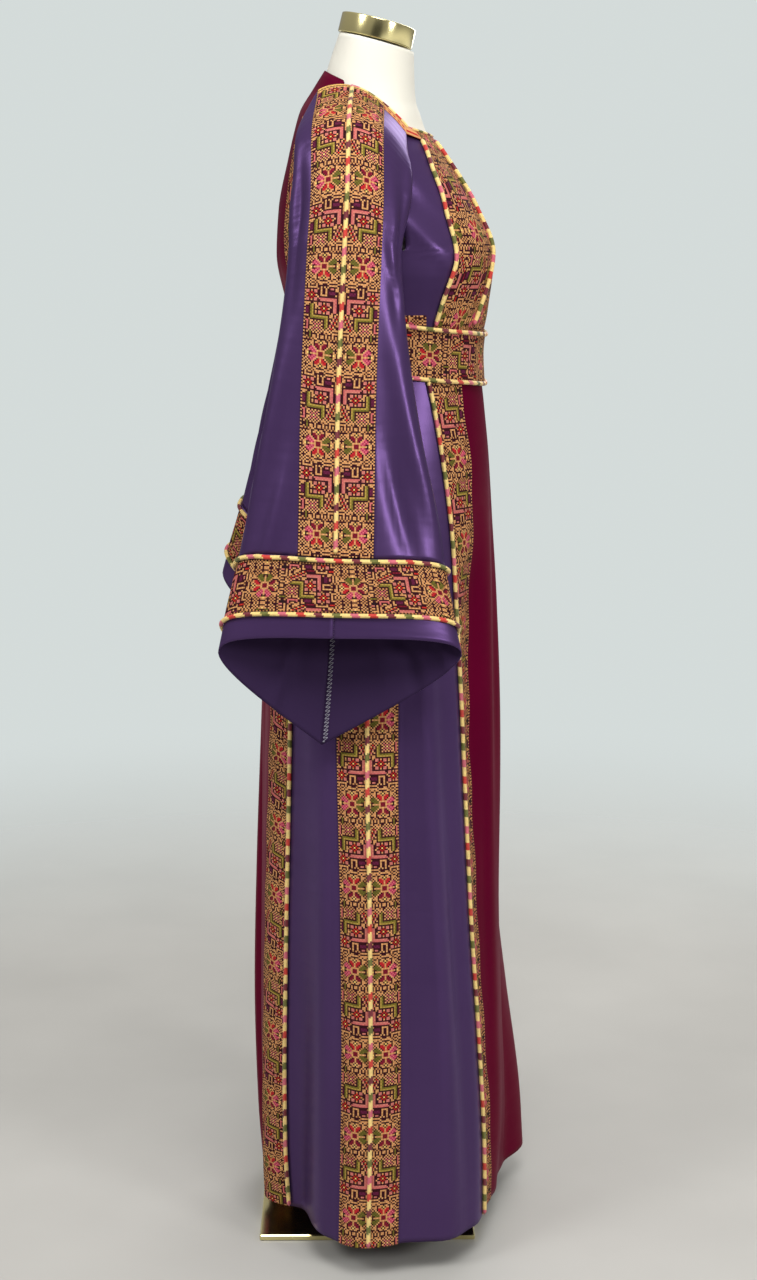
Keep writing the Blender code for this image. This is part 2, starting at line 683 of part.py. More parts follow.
def make_sleeve(side, end):
    """The panels of one sleeve from the front underarm seam round to the back one."""

    def at(length):
        return lambda drop: sleeve_place(drop, side, length)

    def underarm(behind):
        def edge(drop):
            run = sleeve_section(drop, side)[1]
            return np.interp(run[-1] - HALF_GAP if behind else HALF_GAP, run, ROUND)

        return edge

    panels = (
        ("sleeve_front", "purple_satin", underarm(False), at(-SLEEVE_BAND - HALF_GAP), DROPS, 7),
        ("sleeve_band_front", "embroidery", at(-SLEEVE_BAND + HALF_GAP), at(-HALF_GAP), DROPS, 2),
        ("sleeve_band_back", "embroidery", at(HALF_GAP), at(SLEEVE_BAND - HALF_GAP), DROPS, 2),
        ("sleeve_back", "purple_satin", at(SLEEVE_BAND + HALF_GAP), underarm(True), DROPS, 7),
        ("sleeve_hem_front", "purple_satin", underarm(False), at(-HALF_GAP), HEM_DROPS, SLEEVE_STEPS),
        ("sleeve_hem_back", "purple_satin", at(HALF_GAP), underarm(True), HEM_DROPS, SLEEVE_STEPS),
    )
    for name, finish, start, stop, drops, steps in panels:
        sleeve_panel(f"{name}_{end}", finish, side, start, stop, drops, steps)


def make_sleeve_trims(side, end):
    """The cuff band, laid on the hem panels, its two pipings and the piping down the sleeve."""
    drops = (CUFF_TOP, CUFF_MIDDLE, CUFF_BOTTOM)
    rows = [sleeve_ring(drop, side, SEAM_LIFT) for drop in drops]
    cloth(f"cuff_band_{end}", rows, "embroidery", wrap=True, flip=side > 0)
    for name, drop in CUFF_PIPINGS.items():
        ring = sleeve_ring(drop, side, SEAM_LIFT + GAP + PIPING_RADIUS)
        cord(f"cuff_piping_{name}_{end}", ring, PIPING_RADIUS, cyclic=True)
    lift = SEAM_LIFT - GAP + PIPING_RADIUS
    drops = (SLEEVE_PIPING_TOP, *DROPS[1:-1], SLEEVE_PIPING_END)
    points = [sleeve_lifted(drop, side, SHOULDER_LINE, lift) for drop in drops]
    cord(f"sleeve_piping_{end}", points, PIPING_RADIUS)


# ---- the dress form


def make_form():
    rings = []
    for height in FORM["height"]:
        ring = []
        row = {name: read(FORM, name, height) for name in FORM}
        for turn in np.linspace(0, 2 * math.pi, 28, endpoint=False):
            depth = row["front"] if math.cos(turn) >= 0 else row["back"]
            cosine, sine = abs(math.cos(turn)), abs(math.sin(turn))
            power = row["round"]
            radius = ((cosine / depth) ** power + (sine / row["half"]) ** power) ** (-1 / power)
            forward = radius * math.cos(turn)
            drop = row["lean"] * (forward - CAP_FORWARD)
            ring.append((radius * math.sin(turn), -forward, height - drop))
        rings.append(ring)
    torso = surface("form_torso", rings, "form_linen", wrap=True)
    cap_ends(torso.data)

    bpy.ops.mesh.primitive_cylinder_add(vertices=40, radius=CAP_RADIUS, depth=CAP_HEIGHT)
    place("form_neck_cap", "polished_gold", (0, -CAP_FORWARD, CAP_LOW + CAP_HEIGHT / 2))
    bpy.data.objects["form_neck_cap"].rotation_euler = (CAP_TILT, 0, 0)

    low, high = PLATE_THICK + GAP, FORM["height"][0] - GAP
    bpy.ops.mesh.primitive_cylinder_add(vertices=24, radius=POLE_RADIUS, depth=high - low)
    place("form_pole", "polished_gold", (0, 0, (low + high) / 2))

    bpy.ops.mesh.primitive_cube_add(size=1)
    plate = place("form_base_plate", "polished_gold", (0, 0, PLATE_THICK / 2))
    plate.data.transform(
        ((PLATE_SIDE, 0, 0, 0), (0, PLATE_SIDE, 0, 0), (0, 0, PLATE_THICK, 0), (0, 0, 0, 1))
    )
    bevel = plate.modifiers.new("Edges", "BEVEL")
    bevel.width = PLATE_BEVEL
    bevel.segments = 1


def cap_ends(mesh):
    """Closes the two open rings of a lofted mesh."""
    shape = bmesh.new()
    shape.from_mesh(mesh)
    bmesh.ops.holes_fill(shape, edges=[e for e in shape.edges if e.is_boundary], sides=0)
    bmesh.ops.recalc_face_normals(shape, faces=shape.faces)
    shape.to_mesh(mesh)
    shape.free()


def place(name, finish, location):
    """Names the primitive just added and puts it in the collection."""
    made = bpy.context.object
    made.name = made.data.name = name
    made.data.materials.append(material(finish))
    made.location = location
    for other in list(made.users_collection):
        other.objects.unlink(made)
    COLLECTION.objects.link(made)
    return made


make_front()
make_side_bands()
make_back()
make_belt()
make_seam_pipings()
make_neck_edging()
for each_side, its_end in SIDES:
    make_sleeve(each_side, its_end)
    make_sleeve_trims(each_side, its_end)
make_form()
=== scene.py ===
"""The finished look of an embroidered thobe on a dress form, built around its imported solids.

Laid out as a Blender add-on: the sizes and colours that can be changed are properties, each piece
or group of like pieces is an operator, and main() runs them in order. Metres, +Z up, -Y is the
front, +X the wearer's left. The cloth is drawn on two surfaces: body() takes a height and an angle
round the figure, and sleeve() a place down the sleeve and a place round it. Every panel, band,
belt and piping reads its points from them, moved straight out by its own lift.
"""

import math

import bpy
import numpy as np
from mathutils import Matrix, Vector


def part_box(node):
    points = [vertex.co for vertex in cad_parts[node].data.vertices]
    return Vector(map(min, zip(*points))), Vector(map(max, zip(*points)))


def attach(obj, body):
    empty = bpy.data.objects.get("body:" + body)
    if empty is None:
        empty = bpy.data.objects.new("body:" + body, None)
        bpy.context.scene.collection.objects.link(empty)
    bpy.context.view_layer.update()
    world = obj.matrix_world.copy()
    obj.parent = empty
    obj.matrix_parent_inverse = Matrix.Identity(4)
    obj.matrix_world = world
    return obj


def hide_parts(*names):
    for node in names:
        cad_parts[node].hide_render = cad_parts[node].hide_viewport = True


bl_info = {
    "name": "Embroidered thobe on a dress form",
    "version": (1, 0, 0),
    "blender": (4, 5, 0),
    "location": "3D View > Sidebar > Thobe",
    "description": "Builds the cloth, cross-stitch, pipings and dress form around their solids",
    "category": "Add Mesh",
}

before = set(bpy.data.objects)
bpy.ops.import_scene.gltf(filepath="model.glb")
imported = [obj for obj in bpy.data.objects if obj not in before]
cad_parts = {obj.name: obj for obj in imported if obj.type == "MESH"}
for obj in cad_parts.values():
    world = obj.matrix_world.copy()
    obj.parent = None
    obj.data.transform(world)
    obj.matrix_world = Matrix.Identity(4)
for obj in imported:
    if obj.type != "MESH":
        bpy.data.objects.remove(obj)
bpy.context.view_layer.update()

# ---- sizes shared with the solids

HALF_GAP = 0.00015  # half of what is left between two solids at a seam
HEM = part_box("skirt_centre_front")[0][2]
WAIST, ARMPIT = 1.18, 1.31
BELT_MIDDLE, BELT_TILT, BELT_HALF, BELT_LIFT = 1.1925, 0.017, 0.031, 0.0036
BAND_WIDTH, SIDE_BAND, SIDE_BAND_TOP = 0.05, 0.04, 1.158
FRONT_PANEL, FRONT_PANEL_TOP, FRONT_FLARE = 0.113, 0.9, 0.006
BACK_PANEL, BACK_PANEL_TOP, BACK_FLARE = 0.098, 1.445, 0.4
BACK_BAND_TOP, BACK_BAND_SLANT, SIDE_BACK_TOP = 1.478, 0.035, 1.424
NECK_FRONT, NECK_RISE, NECK_HALF = 1.457, 0.010, 0.085
NECK_CHEST, NECK_SIDE, NECK_END = 0.030, 0.066, 0.081
NECK_BACK, NECK_BACK_DROP = 1.541, 0.025
CHEST_PIPING_TOP = 1.452
SLEEVE_BAND, CUFF_WIDTH = 0.046, 0.068
# Places down the sleeve, counted in rows of SLEEVE.
SLEEVE_BAND_END, CUFF_TOP, CUFF_BOTTOM, SLEEVE_HEM, CUFF_SEAM = 7.836, 7.92, 8.62, 9.0, 0.014
LEFT_SWING = (0.024, 0.022)  # how far back and up the left sleeve's hem hangs
SIDES = ((-1, "right"), (1, "left"))

# ---- sizes of the look alone

# How the layers lie on the sewing surface.
SATIN_THICK, BAND_LIFT, BAND_THICK = 0.0010, 0.0011, 0.0010
TUCK = 0.003  # how far the satin runs on under the bands
PIPING_RADIUS, PIPING_LIFT = 0.0028, 0.0040
EDGING_RADIUS, EDGING_LIFT = 0.0019, 0.0012
LAP = 0.0033  # the sleeve's edge lies on the bodice at the armhole

MEASURE_TOP = 1.2  # a plain panel's width is taken half way from its foot to here
SIDE_TAB, TAB_LOW, TAB_TOP = 0.060, 1.216, 1.236  # the ends of the side bands above the belt
NECK_STRIP, NECK_ROW = 0.016, 0.055  # the strip's width, and the cloth in the sleeve's first row
BELT_THICK, BELT_BULGE, BELT_STEPS = 0.0016, 0.0012, 1441
SCALLOP_OUT, SCALLOP_DEEP = 0.0012, 0.0022  # the swelling edge: past the seam, and to each side
SCALLOP_STITCHES, SCALLOP_LIFT = 4, 0.0006  # how many of its stitches rise over the satin
SLEEVE_STEPS, PIPING_STEP = 400, 0.0045
OVERLOCK_TOP, OVERLOCK_WIDE, OVERLOCK_RADIUS = 7.0, 0.0032, 0.00036  # the top in rows of SLEEVE
OVERLOCK_TURNS, OVERLOCK_STEPS = 46, 900

TORSO_RINGS, TORSO_ENDS, TORSO_SIDES = 150, 6, 128
CAP_RADIUS, CAP_HEIGHT, CAP_EDGE = 0.0485, 0.025, 0.0016
CAP_FORWARD, CAP_FOOT, CAP_TILT = 0.0145, 1.5788, math.radians(14)
POLE_RADIUS, POLE_EDGE = 0.016, 0.002
AXIS = 0.0001  # the radius of a ring that closes on its axis

CAMERA, CAMERA_PITCH, CAMERA_SWING = (-2.9153, 0.0141, 1.3406), math.radians(10.56), 0.0105
LAMPS_AIM = (0, 0, 0.85)
LAMPS = (  # name, place, size across, power
    ("Window", (-2.2, 2.6, 3.4), 1.3, 56.0),
    ("Fill", (-2.6, -2.5, 1.95), 0.8, 44.0),
    ("Above", (-1.7, -0.2, 2.9), 1.4, 44.0),
    ("Far side", (2.6, -1.0, 2.4), 2.0, 40.0),
)

TILE_LONG, TILE_WIDE = 54, 23  # stitches down and across one repeat


def table(columns, *rows):
    """Rows of numbers as one array for each named column."""
    return dict(zip(columns.split(), np.array(rows, float).T))


SECTIONS = table(
    "height front  back   side  half_front half_back round_front round_back valley",
    (0.045, 0.190, 0.140, 0.000, 0.262, 0.262, 2.10, 1.8, -0.008),
    (0.140, 0.194, 0.145, 0.002, 0.252, 0.252, 2.10, 1.8, -0.012),
    (0.290, 0.188, 0.147, 0.004, 0.240, 0.240, 2.05, 1.8, -0.014),
    (0.475, 0.180, 0.144, 0.003, 0.222, 0.222, 2.00, 1.9, -0.015),
    (0.687, 0.177, 0.139, 0.000, 0.203, 0.203, 2.05, 2.0, -0.022),
    (0.850, 0.172, 0.135, 0.000, 0.190, 0.190, 2.10, 2.1, -0.018),
    (0.960, 0.166, 0.128, 0.004, 0.180, 0.180, 2.20, 2.2, -0.006),
    (1.050, 0.161, 0.117, 0.010, 0.166, 0.166, 2.15, 2.2, 0),
    (1.120, 0.154, 0.105, 0.014, 0.152, 0.152, 2.25, 2.3, 0),
    (1.180, 0.148, 0.098, 0.016, 0.143, 0.143, 2.30, 2.3, 0),
    (1.240, 0.157, 0.102, 0.014, 0.150, 0.150, 2.60, 2.4, 0),
    (1.310, 0.164, 0.115, 0.010, 0.160, 0.160, 2.90, 2.5, 0),
    (1.366, 0.143, 0.112, 0.004, 0.155, 0.165, 2.60, 2.5, 0),
    (1.430, 0.104, 0.099, 0.000, 0.126, 0.170, 2.20, 2.6, 0),
    (1.474, 0.072, 0.088, -0.004, 0.088, 0.170, 2.00, 2.8, 0),
    (1.490, 0.060, 0.083, -0.006, 0.080, 0.150, 2.00, 2.7, 0),
    (1.516, 0.050, 0.068, -0.010, 0.078, 0.080, 2.00, 2.2, 0),
    (1.541, 0.040, 0.052, -0.014, 0.070, 0.060, 2.00, 2.0, 0),
)

VALLEY_ANGLE, VALLEY_WIDTH = 37.0, 11.0
FOLDS = table(
    "angle  lean   width depth  top",
    (21.0,  28.0,  14.0, 0.043, 0.80),
    (-14.0, 0.0,   12.0, -0.008, 0.60),
    (56.0,  10.0,  11.0, -0.012, 0.70),
    (-80.0, 0.0,   10.0, -0.007, 0.70),
    (-58.0, 0.0,   10.0, 0.013, 0.85),
    (-119.0, 0.0,  11.0, -0.030, 1.00),
    (119.0, 0.0,   11.0, -0.026, 0.95),
    (-143.0, 0.0,  11.0, 0.012, 1.00),
    (143.0, 0.0,   11.0, 0.013, 1.00),
)

ARMHOLE_FRONT = table(
    "height across",
    (1.310, 0.1592), (1.350, 0.1557), (1.390, 0.1437), (1.430, 0.1165), (1.466, 0.072),
)
ARMHOLE_BACK = table(
    "height across",
    (1.310, 0.156), (1.360, 0.152), (1.410, 0.144), (1.450, 0.132), (1.484, 0.112), (1.515, 0.075),
)
CHEST = table(
    "height inner outer",
    (1.180, 0.110, 0.163), (1.250, 0.092, 0.164), (1.310, 0.074, 0.160),
    (1.360, 0.061, 0.146), (1.405, 0.046, 0.120), (1.462, 0.030, 0.066),
)

SLEEVE = table(
    "top_f top_a top_h front_f front_a front_h back_f back_a back_h "
    "under_f under_a under_h under_back",
    (-.018, .0770, 1.517, .038, .0745, 1.481, -.062, .0965, 1.504, 0, 0, 1.465, 1.484),
    (-.020, .125, 1.494, .044, .125, 1.450, -.082, .141, 1.463, 0, 0, 1.430, 1.447),
    (-.022, .172, 1.462, .045, .160, 1.420, -.086, .167, 1.430, 0, 0, 1.390, 1.405),
    (-.023, .205, 1.400, .044, .181, 1.372, -.086, .183, 1.376, 0, 0, 1.348, 1.355),
    (-.026, .219, 1.335, .042, .192, 1.315, -.089, .193, 1.318, -.012, .173, 1.285, 0),
    (-.030, .229, 1.255, .042, .199, 1.245, -.096, .199, 1.255, -.020, .178, 1.215, 0),
    (-.035, .241, 1.140, .058, .210, 1.135, -.113, .210, 1.150, -.030, .183, 1.090, 0),
    (-.037, .257, 1.030, .077, .224, 1.018, -.138, .224, 1.032, -.040, .194, 0.955, 0),
    (-.039, .273, 0.935, .097, .238, 0.915, -.162, .238, 0.925, -.048, .208, 0.820, 0),
    (-.041, .286, 0.852, .116, .252, 0.825, -.183, .252, 0.829, -.057, .224, 0.705, 0),
)

FORM = table(
    "height front  back   half  round lean",
    (0.900, 0.120, 0.092, 0.132, 2.2, 0.0),
    (1.000, 0.136, 0.104, 0.150, 2.2, 0.0),
    (1.100, 0.132, 0.092, 0.143, 2.2, 0.0),
    (1.180, 0.126, 0.080, 0.130, 2.2, 0.0),
    (1.250, 0.141, 0.086, 0.138, 2.2, 0.0),
    (1.310, 0.154, 0.103, 0.147, 2.3, 0.0),
    (1.366, 0.133, 0.100, 0.144, 2.1, 0.0),
    (1.410, 0.109, 0.093, 0.136, 1.7, 0.0),
    (1.440, 0.092, 0.086, 0.124, 1.5, 0.0),
    (1.465, 0.078, 0.079, 0.100, 1.5, 0.0),
    (1.485, 0.071, 0.071, 0.076, 1.7, 0.0),
    (1.505, 0.065, 0.059, 0.060, 1.9, 0.05),
    (1.530, 0.063, 0.051, 0.053, 2.0, 0.12),
    (1.576, 0.062, 0.034, 0.048, 2.0, 0.249),
)

# ---- creases

# Soft ridges (depth over 0) and troughs of the body: from the angle start at height low to the
# angle end at height high, with a bow sideways between. Angles and widths in degrees.
BODY_CREASES = table(
    "start  end    bow   low    high  width depth",
    (-68.0, -69.0, 2.0, -0.34, 1.08, 4.5, 0.0115),
    (-79.0, -78.0, -1.0, -0.30, 1.00, 3.6, -0.0075),
    (-58.0, -61.0, 1.5, -0.30, 0.92, 3.6, -0.0075),
    (-50.0, -56.0, -1.0, 0.10, 1.06, 4.0, 0.0037),
    (-66.0, -75.0, 2.0, 0.62, 1.15, 3.5, 0.0034),
    (-76.0, -84.0, 0.0, 0.80, 1.16, 3.0, -0.0027),
    (-102.0, -100.0, 1.0, -0.34, 1.00, 4.5, -0.0090),
    (-109.0, -106.0, 1.0, 0.02, 0.84, 4.0, 0.0034),
    (-113.0, -104.0, -2.0, 0.55, 1.15, 3.5, 0.0034),
    (68.0, 72.0, -2.0, -0.30, 1.00, 7.0, 0.0068),
    (80.0, 78.0, 1.0, -0.20, 0.88, 5.0, -0.0051),
    (47.0, 52.0, 1.0, 0.05, 0.98, 4.5, -0.0041),
    (60.0, 70.0, -2.0, 0.58, 1.13, 3.5, 0.0034),
    (102.0, 99.0, -1.0, -0.30, 0.90, 4.5, -0.0051),
    (112.0, 105.0, 2.0, 0.50, 1.14, 3.5, 0.0034),
    (3.0, -2.0, 3.0, -0.30, 0.84, 5.0, -0.0051),
    (-8.0, -5.0, -1.0, 0.30, 1.10, 3.0, 0.0037),
    (9.0, 6.0, 1.0, 0.52, 1.13, 3.0, -0.0031),
    (-20.0, -13.0, 2.0, 0.40, 1.13, 3.2, -0.0034),
    (24.0, 15.0, -1.0, 0.66, 1.12, 3.0, 0.0031),
    (-32.0, -24.0, 1.0, 0.10, 0.90, 4.0, -0.0031),
    (176.0, 178.0, 3.0, -0.30, 0.95, 5.0, 0.0076),
    (-170.0, -172.0, -2.0, -0.25, 1.12, 4.0, -0.0054),
    (166.0, 170.0, 2.0, 0.20, 1.30, 3.5, -0.0048),
    (-162.0, -166.0, 1.0, 0.45, 1.38, 3.0, 0.0041),
    (160.0, 164.0, -1.0, 0.70, 1.44, 3.0, 0.0034),
    (-151.0, -158.0, 2.0, 0.90, 1.42, 3.0, -0.0022),
    (-132.0, -128.0, 1.0, 0.30, 1.20, 4.0, -0.0041),
    (133.0, 128.0, -1.0, 0.35, 1.24, 4.0, -0.0041),
    (-122.0, -112.0, 1.0, 0.86, 1.32, 4.0, 0.0037),
    (124.0, 114.0, 0.0, 0.90, 1.30, 4.0, 0.0030),
    (-52.0, -61.0, 1.0, 1.25, 1.43, 5.0, -0.0027),
    (-50.0, -88.0, 2.0, 1.27, 1.39, 5.0, 0.0040),
    (-54.0, -86.0, 2.0, 1.315, 1.44, 5.0, -0.0042),
    (50.0, 88.0, -2.0, 1.28, 1.39, 5.0, 0.0036),
    (52.0, 60.0, -1.0, 1.24, 1.42, 5.0, -0.0027),
    (-71.0, -64.0, 0.0, 1.19, 1.34, 4.0, 0.0016),
    (71.0, 66.0, 0.0, 1.19, 1.32, 4.0, 0.0016),
)

# The same down a sleeve: places down it in rows of SLEEVE, and metres of cloth from the
# shoulder line, the front negative.
SLEEVE_CREASES = table(
    "high low  start   end    bow    width  depth",
    (4.4, 8.6, -0.050, -0.186, 0.022, 0.013, 0.0085),
    (4.2, 8.0, -0.092, -0.222, 0.016, 0.011, -0.0070),
    (5.9, 8.5, -0.050, -0.118, 0.006, 0.012, -0.0065),
    (5.2, 8.9, -0.140, -0.246, -0.006, 0.012, 0.0065),
    (2.0, 6.6, -0.060, -0.104, 0.012, 0.010, 0.0050),
    (2.4, 5.8, -0.084, -0.070, 0.006, 0.008, -0.0050),
    (0.6, 3.8, -0.104, -0.074, -0.006, 0.010, 0.0048),
    (3.0, 6.4, -0.122, -0.150, 0.010, 0.009, -0.0045),
    (3.6, 5.2, -0.052, -0.082, 0.004, 0.006, 0.0036),
    (1.2, 6.8, 0.086, 0.094, -0.010, 0.013, 0.0080),
    (1.6, 5.8, 0.060, 0.064, 0.004, 0.009, -0.0055),
    (4.6, 8.7, 0.050, 0.176, -0.016, 0.014, 0.0085),
    (6.3, 8.6, 0.052, 0.108, -0.004, 0.009, 0.0055),
    (5.4, 8.6, 0.074, 0.142, 0.006, 0.011, -0.0070),
    (3.0, 8.6, 0.128, 0.222, 0.010, 0.014, -0.0065),
    (5.0, 9.4, 0.200, 0.292, 0.000, 0.016, 0.0065),
    (5.2, 9.4, -0.196, -0.300, 0.010, 0.014, -0.0065),
    (7.2, 9.8, -0.226, -0.262, 0.004, 0.009, 0.0060),
    (7.4, 9.8, -0.188, -0.205, 0.002, 0.007, -0.0045),
    (7.0, 9.9, 0.236, 0.262, 0.004, 0.009, -0.0050),
    (6.0, 9.8, 0.020, 0.034, 0.006, 0.016, -0.0026),
)


def faded_ridge(rows, away, along):
    """The height of one crease: a bell across it, and a sine squared along it to nothing."""
    return rows["depth"] * np.exp(-(away**2)) * np.sin(np.pi * np.clip(along, 0, 1)) ** 2


def each_row(rows):
    """The rows of a table, one dictionary at a time."""
    return [dict(zip(rows, values)) for values in zip(*rows.values())]


def run_of(points):
    """Distance along each line of points, from 0 at its first."""
    steps = np.linalg.norm(np.diff(points, axis=-2), axis=-1)
    return np.concatenate([np.zeros((*steps.shape[:-1], 1)), np.cumsum(steps, axis=-1)], axis=-1)


def read(rows, column, at, key="height"):
    """A column at any place of the key column, on a smooth curve through the rows."""
    places, values = rows[key], rows[column]
    steps = np.diff(places)
    slopes = np.diff(values) / steps
    bend = slopes[:-1] * slopes[1:] > 0
    inner = np.where(bend, 2 * slopes[:-1] * slopes[1:] / (slopes[:-1] + slopes[1:] + ~bend), 0)
    tangents = np.concatenate([slopes[:1], inner, slopes[-1:]])
    at = np.clip(at, places[0], places[-1])
    row = np.clip(np.searchsorted(places, at) - 1, 0, len(steps) - 1)
    t = (at - places[row]) / steps[row]
    return (
        values[row] * (1 + 2 * t) * (1 - t) ** 2
        + values[row + 1] * t**2 * (3 - 2 * t)
        + steps[row] * t * (1 - t) * (tangents[row] * (1 - t) - tangents[row + 1] * t)
    )


# ---- the surface of the body of the dress


def section(height, angle):
    """Forward and across: a superellipse at each height, plus a bell for each hanging fold.

    The angle runs from the centre front, left positive, and may pass half a turn.
    """
    ahead = np.cos(angle) >= 0
    axis = read(SECTIONS, "side", height)
    front = read(SECTIONS, "front", height) - axis
    back = read(SECTIONS, "back", height) + axis
    depth = np.where(ahead, front, back)
    half = np.where(ahead, read(SECTIONS, "half_front", height), read(SECTIONS, "half_back", height))
    power = np.where(ahead, read(SECTIONS, "round_front", height), read(SECTIONS, "round_back", height))
    cosine, sine = np.abs(np.cos(angle)), np.abs(np.sin(angle))
    radius = ((cosine / depth) ** power + (sine / half) ** power) ** (-1 / power)
    turn = np.degrees(np.arctan2(np.sin(angle), np.cos(angle)))
    for fold in each_row(FOLDS):
        reach = np.clip((fold["top"] - height) / (fold["top"] - HEM), 0, 1) ** 1.4
        away = (turn - fold["angle"] - fold["lean"] * (height - HEM)) / fold["width"]
        radius = radius + fold["depth"] * reach * np.exp(-away * away)
    away = (np.abs(turn) - VALLEY_ANGLE) / VALLEY_WIDTH
    radius = radius + read(SECTIONS, "valley", height) * np.exp(-away * away)
    return axis, radius


def body_creases(height, angle):
    """How far the listed creases move the cloth out, at each height and angle."""
    turn = np.degrees(np.arctan2(np.sin(angle), np.cos(angle)))
    moved = np.zeros(np.broadcast(height, angle).shape)
    for crease in each_row(BODY_CREASES):
        along = (height - crease["low"]) / (crease["high"] - crease["low"])
        middle = crease["start"] + (crease["end"] - crease["start"]) * along
        middle = middle + crease["bow"] * np.sin(np.pi * along)
        away = (turn - middle + 180) % 360 - 180
        moved += faded_ridge(crease, away / crease["width"], along)
    return moved


def plain_body(height, angle, moved=0.0):
    """Points of the body without its creases, from heights and angles of any one shape.

    The lengths along the cloth, the armhole seams and the belt are measured on it.
    """
    axis, radius = section(height, angle)
    radius = radius + moved
    forward, across = axis + radius * np.cos(angle), radius * np.sin(angle)
    return np.stack(np.broadcast_arrays(across, -forward, height), axis=-1)


def body(height, angle):
    """Points of the body of the dress with its creases."""
    return plain_body(height, angle, body_creases(height, angle) * bpy.context.scene.thobe.crease)


# How far to each side the slopes of the two surfaces are measured.
BODY_STEPS, SLEEVE_SLOPES = (0.002, 0.01), (0.05, 0.03)


def moved_out(surface, u, v, steps, lift):
    """Points of a surface moved along its normal, the cross product of its two slopes."""
    du, dv = steps
    along = surface(u, v + dv) - surface(u, v - dv)
    up = surface(u + du, v) - surface(u - du, v)
    normal = np.cross(along, up)
    normal /= np.linalg.norm(normal, axis=-1, keepdims=True)
    return surface(u, v) + normal * np.broadcast_to(lift, normal.shape[:-1])[..., None], normal


def body_out(height, angle, lift):
    """Points of the body moved straight out by lift, and the normals."""
    return moved_out(body, height, angle, BODY_STEPS, lift)


# Lengths along the cloth, for each side at each of these heights and angles.
FINE = np.radians(np.linspace(0, 180, 721))
SIDE_SEAM = len(FINE) // 2
HEIGHTS = np.linspace(HEM, 1.545, 301)
FAR = 10.0  # more than any length, so that one sorted row holds every section


def run_table(side):
    """Distance along the cloth from the centre front to each angle, and how far across that is."""
    points = plain_body(HEIGHTS[:, None], side * FINE[None, :])
    return run_of(points), side * points[..., 0]


RUNS = {side: run_table(side) for side in (-1, 1)}


def inverted(rows, targets, lines):
    """For a target in each line of rising rows, the column where it falls, between two lines."""
    count, wide = rows.shape
    keys = (rows + FAR * np.arange(count)[:, None]).ravel()
    columns = np.tile(np.arange(wide, dtype=float), count)
    low = np.clip(np.floor(lines).astype(int), 0, count - 2)
    share = lines - low
    found = [np.interp(targets + FAR * line, keys, columns) for line in (low, low + 1)]
    return found[0] * (1 - share) + found[1] * share


def angle_at(height, side, length, behind):
    """The angle at a distance along the cloth from the centre front, or the centre back."""
    run = RUNS[side][0]
    lines = (height - HEIGHTS[0]) / (HEIGHTS[1] - HEIGHTS[0])
    if behind:
        length = np.interp(height, HEIGHTS, run[:, -1]) - length
    columns = inverted(run, length, np.clip(lines, 0, len(HEIGHTS) - 1.001))
    return side * np.interp(columns, np.arange(len(FINE)), FINE)


def side_length(height, side, behind):
    """Distance along the cloth from the centre to the side seam."""
    run = RUNS[side][0]
    half = run[:, -1] - run[:, SIDE_SEAM] if behind else run[:, SIDE_SEAM]
    return np.interp(height, HEIGHTS, half)


def armhole_rows(side, behind):
    """Distance along the cloth to the armhole seam at each of HEIGHTS."""
    run, across = RUNS[side]
    seam = read(ARMHOLE_BACK if behind else ARMHOLE_FRONT, "across", HEIGHTS)
    if behind:
        gone = [np.interp(-s, -a[SIDE_SEAM:], r[SIDE_SEAM:]) for s, a, r in zip(seam, across, run)]
        return run[:, -1] - gone
    last = SIDE_SEAM + 1
    return np.array([np.interp(s, a[:last], r[:last]) for s, a, r in zip(seam, across, run)])


ARMHOLES = {(side, behind): armhole_rows(side, behind) for side in (-1, 1) for behind in (False, True)}


def armhole_length(height, side, behind):
    """Distance along the cloth from the centre to the armhole seam."""
    return np.interp(height, HEIGHTS, ARMHOLES[side, behind])


# ---- the surface of a sleeve


def spline(points, at):
    """A smooth curve through the points, read at places counted in points from 0.

    The points may be rows of any shape; at has the rows' leading shape or is one list for all.
    """
    count = len(points)
    flat = points.reshape(count, -1)
    system = np.zeros((count, count))
    inner = np.arange(1, count - 1)
    system[inner, inner - 1], system[inner, inner], system[inner, inner + 1] = 1, 4, 1
    right = np.zeros_like(flat)
    right[1:-1] = 3 * (flat[2:] - flat[:-2])
    system[0, :2], right[0] = (2, 1), 3 * (flat[1] - flat[0])
    system[-1, -2:], right[-1] = (1, 2), 3 * (flat[-1] - flat[-2])
    slopes = np.linalg.solve(system, right).reshape(points.shape)
    row = np.clip(np.floor(at).astype(int), 0, count - 2)
    t = (at - row)[..., None]
    others = () if points.ndim == 2 else (np.arange(points.shape[1])[:, None],)
    near, far = points[(row, *others)], points[(row + 1, *others)]
    leave, arrive = slopes[(row, *others)], slopes[(row + 1, *others)]
    return (
        near * (1 + 2 * t) * (1 - t) ** 2 + far * t**2 * (3 - 2 * t)
        + leave * t * (1 - t) ** 2 - arrive * t**2 * (1 - t)
    )


ROWS, PIT = len(SLEEVE["top_f"]), 4  # row PIT is where the two armhole seams have met
SHOULDER_LINE, ROUND = 2.0, np.linspace(0, 4, 161)
SHOULDER = [len(ROUND) // 2]  # the shoulder line's column of ROUND


